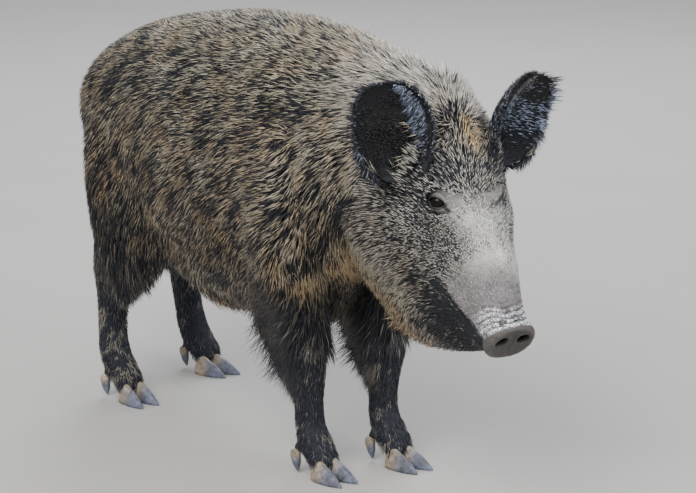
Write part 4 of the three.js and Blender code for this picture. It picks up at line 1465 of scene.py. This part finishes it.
class BOAR_OT_coat_ears(bpy.types.Operator):
    """Grows the hair of both ears: up the back, swept across the hollow, and past the rims"""

    bl_idname = "boar.coat_ears"
    bl_label = "Coat of the ears"

    def execute(self, context):
        skin = bpy.data.objects["skin"]
        rng = np.random.default_rng(SEEDS["ears"])
        for side in EAR_POSE:
            roots = together(
                [getattr(self, part)(side, rng, count) for part, count in EAR_TUFTS.items()]
            )
            spot = snapped(roots["p"], skin)
            close = np.linalg.norm(spot - roots["p"], axis=1) < REACH["ear"]
            roots["p"] = np.where(close[:, None], spot, roots["p"])
            grow(f"coat_ear_{side}", roots)
        return {"FINISHED"}

    @staticmethod
    def on_ear(side, s, t, shift, face):
        """Places on an ear's front (face -1) or back (face 1), with the outward direction, the
        direction up the ear and the direction across it, away from the head.
        """
        step, away = 0.01, EAR_POSE[side][0]
        p = ear_at(side, s, t, shift)
        up = unit(ear_at(side, s + step, t, shift) - ear_at(side, s - step, t, shift))
        across = unit(ear_at(side, s, t + step, shift) - ear_at(side, s, t - step, shift)) * away
        outward = unit(ear_at(side, s, t, shift + 1) - p) * face
        return p, outward, up, across

    def back(self, side, rng, count):
        """Short hair up the back, parting towards both rims."""
        s, t = rng.uniform(0.0, 0.99, count), rng.uniform(-0.95, 0.95, count)
        p, outward, up, across = self.on_ear(side, s, t, ear_wall(s, t) - EAR["coat"] * 0.5, 1)
        comb = up * ramp(1.05, 0.75, s)[:, None] + across * (0.6 * t * EAR_POSE[side][0])[:, None]
        long = hair("ear") * rng.uniform(0.6, 1.1, count) * (1 - 0.35 * s)
        uv = np.stack([s * 0.3, t / 2 + 0.5], -1)
        return ear_roots(p, outward, comb, long, EAR["coat"] * MM, rng, uv, 0.10 + 0 * s)

    def hollow(self, side, rng, count):
        """Hair that lies across the hollow, away from the head and a little down."""
        away = EAR_POSE[side][0]
        s, t = rng.uniform(-0.12, 0.98, count), rng.uniform(-0.95, 0.9, count)
        p, outward, up, across = self.on_ear(side, s, t * away, EAR["coat"] * 0.6, -1)
        comb = across + up * (0.8 * s - 0.35)[:, None]
        long = hair("ear") * (0.9 + 0.6 * ramp(0.3, 0.8, s)) * rng.uniform(0.6, 1.2, count)
        uv = np.stack([0.35 + (s + 0.12) * 0.28, t / 2 + 0.5], -1)
        # Painted sheen on the lit left ear's hollow, and painted shade deep in the right ear's
        # hollow.
        light = EAR_PAINTED_LIGHT[side] * ramp(0.16, 0.5, s)
        roots = ear_roots(p, outward, comb, long, 0.004, rng, uv, light)
        deep = (1 - EAR_PAINTED_LIGHT[side]) * ramp(0.95, 0.7, s) * ramp(0.95, 0.6, np.abs(t))
        for key in ("tint", "root_tint"):
            roots[key] = roots[key] * (1 + 0.6 * EAR_PAINTED_LIGHT[side] - 0.9 * deep)[:, None]
        return roots

    def rim(self, side, rng, count):
        """Long hair from the rim next to the head, that hangs over the hollow."""
        away = EAR_POSE[side][0]
        s, t = rng.uniform(0.06, 0.97, count), rng.uniform(-0.99, -0.62, count)
        p, outward, up, across = self.on_ear(side, s, t * away, ear_wall(s, t) * 0.4, -1)
        comb = across - up * (0.75 * ramp(0.2, 0.6, s))[:, None]
        long = hair("ear") * 1.45 * rng.uniform(0.5, 1.2, count)
        long = long * (0.5 + 0.5 * ramp(0.98, 0.72, s))
        uv = np.stack([0.67 + 0.15 * s, t + 1], -1)
        # A painted blue-grey sheen on the light share, and painted highlights in streaks of
        # brighter tint.
        light = 0.35 + 0.5 * ramp(0.3, 0.7, s)
        rise = 0.010 * rng.uniform(0.1, 1.2, count)
        roots = ear_roots(p, outward, comb, long, rise, rng, uv, light)
        roots["tint"] = roots["tint"] * rng.uniform(0.7, 2.5, count)[:, None]
        return roots

    def fringe(self, side, rng, count):
        """A soft fringe out past both rims and the tip, longest low on the far rim, and fuller
        up that rim of the left ear.
        """
        away = EAR_POSE[side][0]
        s = rng.uniform(0.02, 0.99, count) ** 0.8
        t = rng.choice([-0.97, 0.96, 0.96], count)
        t = t * np.where(s > 0.90, rng.uniform(0.0, 1, count), 1)
        p, _, up, _ = self.on_ear(side, s, t * away, ear_wall(s, t) * 0.5, -1)
        middle = ear_at(side, np.array([0.45]), np.zeros(1), 0.0)
        facing = self.on_ear(side, np.array([0.5]), np.zeros(1), 0.0, -1)[1]
        low = (t > 0) * ramp(0.6, 0.2, s)
        comb = unit(p - middle) - up * (0.5 * low)[:, None]
        full = (side == "left") * (t > 0) * bell(s, 0.38, 0.3)
        long = hair("ear") * (0.42 + 0.8 * low + 0.8 * full) * rng.uniform(0.5, 1.25, count)
        rise = 0.006 * rng.uniform(-1, 1, count)
        uv = np.stack([0.84 + 0.15 * s, t / 2 + 0.5], -1)
        return ear_roots(p, np.tile(facing, (count, 1)), comb, long, rise, rng, uv, 0.22 + 0 * s)

    def root(self, side, rng, count):
        """Dark and pale hair round the back of the ear's root, which hides where it leaves the
        head.
        """
        away = EAR_POSE[side][0]
        s, t = rng.uniform(-0.03, 0.12, count), rng.uniform(-1, 1, count)
        shift = ear_wall(s, t) - EAR["coat"] * 0.5
        p, outward, up, across = self.on_ear(side, s, t * away, shift, 1)
        comb = up + across * 0.5
        long = 0.028 * rng.uniform(0.7, 1.2, count)
        uv = np.stack([0.71 + s, 0.7 + 0.27 * t], -1)
        roots = ear_roots(p, outward, comb, long, 0.006, rng, uv, 0 * s)
        pale = (rng.uniform(0, 1, count) < 0.35 * (1 - in_cup(p)))[:, None]
        shade = rng.uniform(0.6, 1.1, count)[:, None]
        roots["tint"] = np.where(pale, 0.6 * hue("straw"), hue("black")) * shade
        return roots


def ear_roots(p, outward, comb, long, rise, rng, uv, light):
    """The rest of what grow needs for an ear's hair: blue-black, the share light of it with
    tips of a painted blue-grey sheen, browner towards the top of the left ear.
    """
    count = len(p)
    wander = rng.normal(0, 0.13, count) + 0.25 * ripple(p, 0.03, 1)
    comb = veered(unit(flattened(comb, outward)), outward, wander)
    rust_and_sheen = hue("sheen") * rng.uniform(0.35, 1.15, count)[:, None]
    brown = ramp(0.69, 0.76, p[:, 2]) * ramp(0.0, 0.05, p[:, 1]) * 0.8
    rust_and_sheen = blend(rust_and_sheen, 0.45 * hue("rust"), brown)
    pale = rng.uniform(0, 1, count) < light + 0.35 * light * ripple(p, 0.02, 2)
    tint = blend(np.tile(hue("blue"), (count, 1)), rust_and_sheen, pale.astype(float))
    return dict(
        p=p,
        outward=outward,
        comb=comb,
        length=long,
        rise=rise + 0 * long,
        width=SLIM * rng.uniform(0.7, 1.3, count),
        roll=rng.normal(0, 0.4, count),
        pull=gather(p, 0.014) * (long * 0.14)[:, None],
        uv=np.clip(uv, 0, 1),
        tint=tint,
        root_tint=np.tile(hue("blue"), (count, 1)),
    )


# ------------------------------------------------------------------ eyes and hooves


class BOAR_OT_eyes(bpy.types.Operator):
    """Makes the two glossy eyeballs, each with its iris turned outward"""

    bl_idname = "boar.eyes"
    bl_label = "Eyes"

    def execute(self, context):
        material = eye_material()
        for side, (sign, *_) in EAR_POSE.items():
            centre, axes = eye_frame(sign)
            polar, turn = np.linspace(0.02, math.pi - 0.02, 33)[:, None], angles_round(48)
            swell = 1 + 0.05 * bell(polar, 0, 0.55)
            out, front = np.sin(polar) * swell, np.cos(polar) * swell
            q = np.broadcast_arrays(out * np.cos(turn), front, out * np.sin(turn))
            p = from_head(np.stack(q, axis=-1) * EYE["radius"] @ axes + centre)
            eye = new_mesh(f"eyeball_{side}", *joined([p]))
            outward_normals(eye)
            inner = (to_head(places_of(eye)) - centre) @ axes.T / EYE["radius"]
            off = np.hypot(inner[:, 0], inner[:, 2])
            set_values(eye, "off_gaze", np.degrees(np.arctan2(off, inner[:, 1])))
            off = np.hypot(inner[:, 0] / PUPIL[0], inner[:, 2] / PUPIL[1])
            set_values(eye, "off_pupil", off)
            finish_piece(eye, material, [f"eye_{side}"])
        return {"FINISHED"}


def outward_normals(obj):
    """Turns a closed mesh's faces outward."""
    mesh = bmesh.new()
    mesh.from_mesh(obj.data)
    bmesh.ops.recalc_face_normals(mesh, faces=mesh.faces)
    mesh.to_mesh(obj.data)
    mesh.free()


# The profile of a claw: places along it, and its width and height there.
SHOE_AT = (0, 0.26, 0.68, 1)
SHOE_WIDE, SHOE_TALL = (0.62, 1, 0.80, 0.16), (0.86, 1, 0.56, 0.10)


def shoe(length, half, height):
    """A pointed horn shoe: at each place along it a section with a flat sole and a round top,
    whose width and height follow a smoothed line through the four places of its profile.
    """
    along = np.linspace(0, 1, 40)
    kernel = np.hanning(9) / np.hanning(9).sum()
    wide, tall = (
        np.convolve(np.pad(np.interp(along, SHOE_AT, given), 4, mode="edge"), kernel, "valid")
        for given in (SHOE_WIDE, SHOE_TALL)
    )
    close = np.sqrt(np.clip(1 - ((along - 0.93) / 0.07) ** 2 * (along > 0.93), 0.001, 1))
    close *= np.sqrt(np.clip(1 - ((0.10 - along) / 0.10) ** 2 * (along < 0.10), 0.02, 1))
    turn = angles_round(28)
    c, s = np.cos(turn), np.sin(turn)
    up = np.where(s > 0, np.abs(s) ** 0.85, 0)
    lean = 1 - 0.30 * up
    y = half * (wide * close)[:, None] * bent(c, 0.7) * lean
    z = height * (tall * close)[:, None] * up
    rings = 0.25 * np.sin(along * length * 2.2)[:, None] * (z > 0.3)
    x = np.broadcast_to(((along - 0.4) * length)[:, None], y.shape)
    return np.stack([x, y * (1 + rings / half), z + rings * 0.4], axis=-1), along


class BOAR_OT_hooves(bpy.types.Operator):
    """Makes the horn claws and dewclaws of every foot"""

    bl_idname = "boar.hooves"
    bl_label = "Hooves"

    def execute(self, context):
        material = horn_material()
        for foot, (x, y, toe, _) in FEET.items():
            outer = math.copysign(1, y)
            for name, sign in (("inner", -outer), ("outer", outer)):
                claw, along = shoe(CLAW["length"], CLAW["half"], CLAW["height"])
                claw = claw @ turn_z(toe + sign * CLAW["splay"]).T
                claw = claw + [x + CLAW["ahead"], y + sign * CLAW["apart"], 0]
                self.add(f"hoof_{foot}_{name}", claw, along, material, f"claw_{foot}_{name}")
                dew, along = shoe(DEWCLAW["length"], DEWCLAW["half"], DEWCLAW["height"])
                matrix = turn_z(toe + sign * DEWCLAW["splay"]) @ turn_y(DEWCLAW["hang"])
                dew = dew @ matrix.T
                dew = dew + [x - DEWCLAW["behind"], y + sign * DEWCLAW["apart"], DEWCLAW["rise"]]
                self.add(f"dewhoof_{foot}_{name}", dew, along, material, f"dewclaw_{foot}_{name}")
        return {"FINISHED"}

    @staticmethod
    def add(name, grid, along, material, node):
        """One claw from its grid, with the place along it as an attribute."""
        piece = new_mesh(name, *joined([in_whole(grid)]))
        outward_normals(piece)
        set_values(piece, "along", np.repeat(along, grid.shape[1]))
        finish_piece(piece, material, [node])


# ------------------------------------------------------------------ materials


class Nodes:
    """A material's node tree, built by short calls."""

    def __init__(self, name):
        self.material = bpy.data.materials.new(name)
        self.material.use_nodes = True
        self.tree = self.material.node_tree
        self.shader = self.tree.nodes["Principled BSDF"]

    def add(self, kind, **settings):
        """A node of that kind. Names of inputs set their values, and other names its settings."""
        node = self.tree.nodes.new("ShaderNode" + kind)
        for key, value in settings.items():
            if hasattr(node, key):
                setattr(node, key, value)
            else:
                node.inputs[key].default_value = value
        return node

    def link(self, source, target, name):
        """Joins an output to a named input."""
        self.tree.links.new(source, target.inputs[name])

    def value(self, name):
        """A point attribute."""
        return self.add("Attribute", attribute_name=name)

    def put(self, node, index, given):
        """An output or a constant, put into a numbered input."""
        if isinstance(given, bpy.types.NodeSocket):
            self.tree.links.new(given, node.inputs[index])
        elif isinstance(given, float):
            node.inputs[index].default_value = given
        else:
            node.inputs[index].default_value = (*given, 1)

    def mix(self, a, b, share, mode="MIX"):
        """Two colours mixed; each of the three is an output or a constant."""
        node = self.add("Mix", data_type="RGBA", blend_type=mode)
        for index, given in ((0, share), (6, a), (7, b)):
            self.put(node, index, given)
        return node.outputs[2]

    def scaled(self, a, b):
        """A colour multiplied by another colour or value."""
        return self.mix(a, b, 1.0, "MULTIPLY")

    def math(self, operation, a, b=0.0):
        """A sum on two values; each is an output or a constant."""
        node = self.add("Math", operation=operation)
        self.put(node, 0, a)
        self.put(node, 1, b)
        return node.outputs[0]

    def spread(self, source, low, high, to_low=0.0, to_high=1.0):
        """A value carried smoothly from one range to another."""
        ends = {"From Min": low, "From Max": high, "To Min": to_low, "To Max": to_high}
        node = self.add("MapRange", interpolation_type="SMOOTHSTEP", **ends)
        self.link(source, node, "Value")
        return node.outputs[0]

    def noisy(self, given, low, high, to_low=0.0, to_high=1.0):
        """A noise, given by its scale, detail and roughness, spread over a range."""
        return self.spread(self.noise(*given), low, high, to_low, to_high)

    def noise(self, scale, detail=4.0, roughness=0.5):
        """A noise on the object's own coordinates."""
        node = self.add("TexNoise", Scale=scale, Detail=detail, Roughness=roughness)
        self.link(self.add("TexCoord").outputs["Object"], node, "Vector")
        return node.outputs["Fac"]

    def bump(self, height, distance, strength=1.0):
        """Bumps of that height on the shader's surface."""
        node = self.add("Bump", Distance=distance, Strength=strength)
        self.link(height, node, "Height")
        self.link(node.outputs[0], self.shader, "Normal")

    def finish(self, base, constants):
        """Sets the shader's colour and its constants, and gives the material."""
        self.link(base, self.shader, "Base Color")
        for name, given in constants.items():
            self.shader.inputs[name].default_value = given
        return self.material


def once(build):
    """Keeps the material that a function builds, so that pieces share it."""
    kept = {}

    def wrapped():
        if "made" not in kept:
            kept["made"] = build()
        return kept["made"]

    return wrapped


@once
def coat_material():
    """Hair: dark at the root, the tuft's own colour over its outer half, with streaks."""
    made = Nodes("boar_hair")
    along = made.value("along").outputs["Fac"]
    tip = made.value("tint").outputs["Color"]
    root = made.value("root_tint").outputs["Color"]
    reach = made.math("ADD", along, made.noisy((900.0, 2.0), 0.3, 0.7, -0.12, 0.12))
    base = made.mix(root, tip, made.spread(reach, 0.30, 0.62))
    worn = made.mix(base, (1.22, 1.20, 1.16), made.spread(reach, 0.8, 1.05, 0.0, 0.5), "MULTIPLY")
    mottle = made.noisy((14.0, 3.0), 0.35, 0.65, 0.86, 1.12)
    return made.finish(made.scaled(worn, mottle), {"Roughness": 0.46, "Specular IOR Level": 0.5})


@once
def skin_material():
    """Skin: its painted tint, finely creased, with cracked pale mud behind the snout disc."""
    made = Nodes("boar_skin")
    tint = made.value("tint").outputs["Color"]
    mud = made.value("mud").outputs["Fac"]
    bare = made.value("bare").outputs["Fac"]
    wet = made.value("wet").outputs["Fac"]
    cells = made.add("TexVoronoi", feature="DISTANCE_TO_EDGE", Scale=190.0)
    made.link(made.add("TexCoord").outputs["Object"], cells, "Vector")
    crack = made.spread(cells.outputs["Distance"], 0.01, 0.14)
    blotch = made.noisy((70.0, 5.0, 0.65), 0.38, 0.52)
    covered = made.math("MULTIPLY", made.math("MULTIPLY", mud, blotch), crack)
    toned = made.scaled(tint, made.noisy((110.0, 6.0, 0.65), 0.3, 0.7, 0.78, 1.2))
    dust = made.noisy((200.0, 4.0, 0.6), 0.35, 0.6)
    dusty = made.mix(0.68 * hue("mud"), hue("mud"), dust)
    dull = made.spread(bare, 0.0, 1.0, 0.85, 0.58)
    rough = made.math("SUBTRACT", dull, made.math("MULTIPLY", wet, 0.35))
    made.link(rough, made.shader, "Roughness")
    flakes = made.math("MULTIPLY", made.math("MULTIPLY", crack, mud), 1.2)
    made.bump(made.math("ADD", made.noise(420.0, 3.0), flakes), 0.0010, 0.8)
    return made.finish(made.mix(toned, dusty, covered), {})


@once
def eye_material():
    """Eye: black oval pupil, dark brown iris with rays, brown-black beyond, under clear gloss."""
    made = Nodes("boar_eye")
    off = made.value("off_gaze").outputs["Fac"]
    pupil = made.spread(made.value("off_pupil").outputs["Fac"], 0.85, 1.0)
    rays = made.noisy((700.0, 2.0), 0.3, 0.7, 0.6, 1.4)
    iris = made.scaled((0.007, 0.0045, 0.0035), rays)
    coloured = made.mix((0.002, 0.0015, 0.001), iris, pupil)
    final = made.mix(coloured, (0.006, 0.004, 0.004), made.spread(off, 40.0, 48.0))
    gloss = {"Roughness": 0.06, "Specular IOR Level": 0.1}
    return made.finish(final, {**gloss, "Coat Weight": 0.12, "Coat Roughness": 0.02})


@once
def horn_material():
    """Horn: tan at the top edge, blue-grey towards the tip, with growth lines and scuffs."""
    made = Nodes("boar_horn")
    along = made.value("along").outputs["Fac"]
    base = made.mix(hue("coronet"), hue("horn"), made.spread(along, 0.22, 0.62))
    toned = made.scaled(base, made.noisy((120.0, 6.0, 0.7), 0.35, 0.7, 0.6, 1.3))
    dirt = made.noisy((35.0, 4.0, 0.6), 0.48, 0.68, 0.0, 0.55)
    lines = made.math("SINE", made.math("MULTIPLY", along, 120.0))
    made.bump(made.math("ADD", lines, made.noise(300.0, 4.0)), 0.0004, 0.7)
    return made.finish(made.mix(toned, (0.05, 0.037, 0.026), dirt), {"Roughness": 0.5})


@once
def floor_material():
    """A plain pale studio floor."""
    made = Nodes("studio_floor")
    grain = made.noisy((3.0, 3.0), 0.3, 0.7, 0.97, 1.0)
    return made.finish(made.scaled((0.44, 0.43, 0.415), grain), {"Roughness": 0.9})


# ------------------------------------------------------------------ the stage


def area_light(name, place, aim, size, watts, colour_of):
    """A soft square light at a place, turned to what it lights."""
    data = bpy.data.lights.new(name, "AREA")
    data.shape, data.size, data.energy, data.color = "SQUARE", size, watts, colour_of
    light = placed(name, data)
    light.location = place
    light.rotation_euler = (Vector(aim) - Vector(place)).to_track_quat("-Z", "Y").to_euler()


class BOAR_OT_stage(bpy.types.Operator):
    """Sets the floor, the soft lights and the camera"""

    bl_idname = "boar.stage"
    bl_label = "Stage"

    def execute(self, context):
        corners = FLOOR_SIDE / 2 * np.array([[-1, -1, 0], [1, -1, 0], [1, 1, 0], [-1, 1, 0]])
        floor = new_mesh("floor", corners, np.array([[0, 1, 2], [0, 2, 3]]), smooth=False)
        floor.data.materials.append(floor_material())

        world = context.scene.world or bpy.data.worlds.new("studio")
        context.scene.world = world
        world.use_nodes = True
        sky = world.node_tree.nodes["Background"]
        sky.inputs["Color"].default_value = (0.80, 0.82, 0.85, 1)
        sky.inputs["Strength"].default_value = 1.0
        for name, given in LIGHTS.items():
            area_light(name, *given)

        lens = bpy.data.cameras.new("camera")
        lens.sensor_width = SENSOR
        lens.lens = FOCAL_PIXELS * SENSOR / PICTURE_WIDTH
        camera = placed("camera", lens)
        azimuth, elevation = math.radians(CAMERA["azimuth"]), math.radians(CAMERA["elevation"])
        level = math.cos(elevation)
        back = Vector((math.sin(azimuth) * level, -math.cos(azimuth) * level, math.sin(elevation)))
        camera.location = Vector(CAMERA["target"]) + back * CAMERA["distance"]
        camera.rotation_euler = back.to_track_quat("Z", "Y").to_euler()
        context.scene.camera = camera
        return {"FINISHED"}


# ------------------------------------------------------------------ the add-on

MAKERS = (
    BOAR_OT_skin,
    BOAR_OT_eyes,
    BOAR_OT_hooves,
    BOAR_OT_coat_trunk,
    BOAR_OT_coat_head,
    BOAR_OT_coat_legs,
    BOAR_OT_coat_tail,
    BOAR_OT_coat_ears,
    BOAR_OT_stage,
)


class BOAR_PT_panel(bpy.types.Panel):
    """Lists the makers, in their order, and the settings"""

    bl_idname = "BOAR_PT_panel"
    bl_label = "Wild boar"
    bl_space_type = "VIEW_3D"
    bl_region_type = "UI"
    bl_category = "Boar"

    def draw(self, context):
        for maker in MAKERS:
            self.layout.operator(maker.bl_idname)
        for settings in (context.scene.boar_colours, context.scene.boar_coat):
            box = self.layout.box()
            for name in settings.bl_rna.properties.keys():
                if name not in ("rna_type", "name"):
                    box.prop(settings, name)


CLASSES = (BoarColours, BoarCoat, *MAKERS, BOAR_PT_panel)


def register():
    """Adds the classes and the settings to Blender."""
    for cls in CLASSES:
        bpy.utils.register_class(cls)
    bpy.types.Scene.boar_colours = PointerProperty(type=BoarColours)
    bpy.types.Scene.boar_coat = PointerProperty(type=BoarCoat)


def unregister():
    """Takes them out again."""
    del bpy.types.Scene.boar_coat
    del bpy.types.Scene.boar_colours
    for cls in reversed(CLASSES):
        bpy.utils.unregister_class(cls)


def main():
    """Makes every piece in order."""
    register()
    for maker in MAKERS:
        group, name = maker.bl_idname.split(".")
        getattr(getattr(bpy.ops, group), name)()


if __name__ == "__main__":
    main()
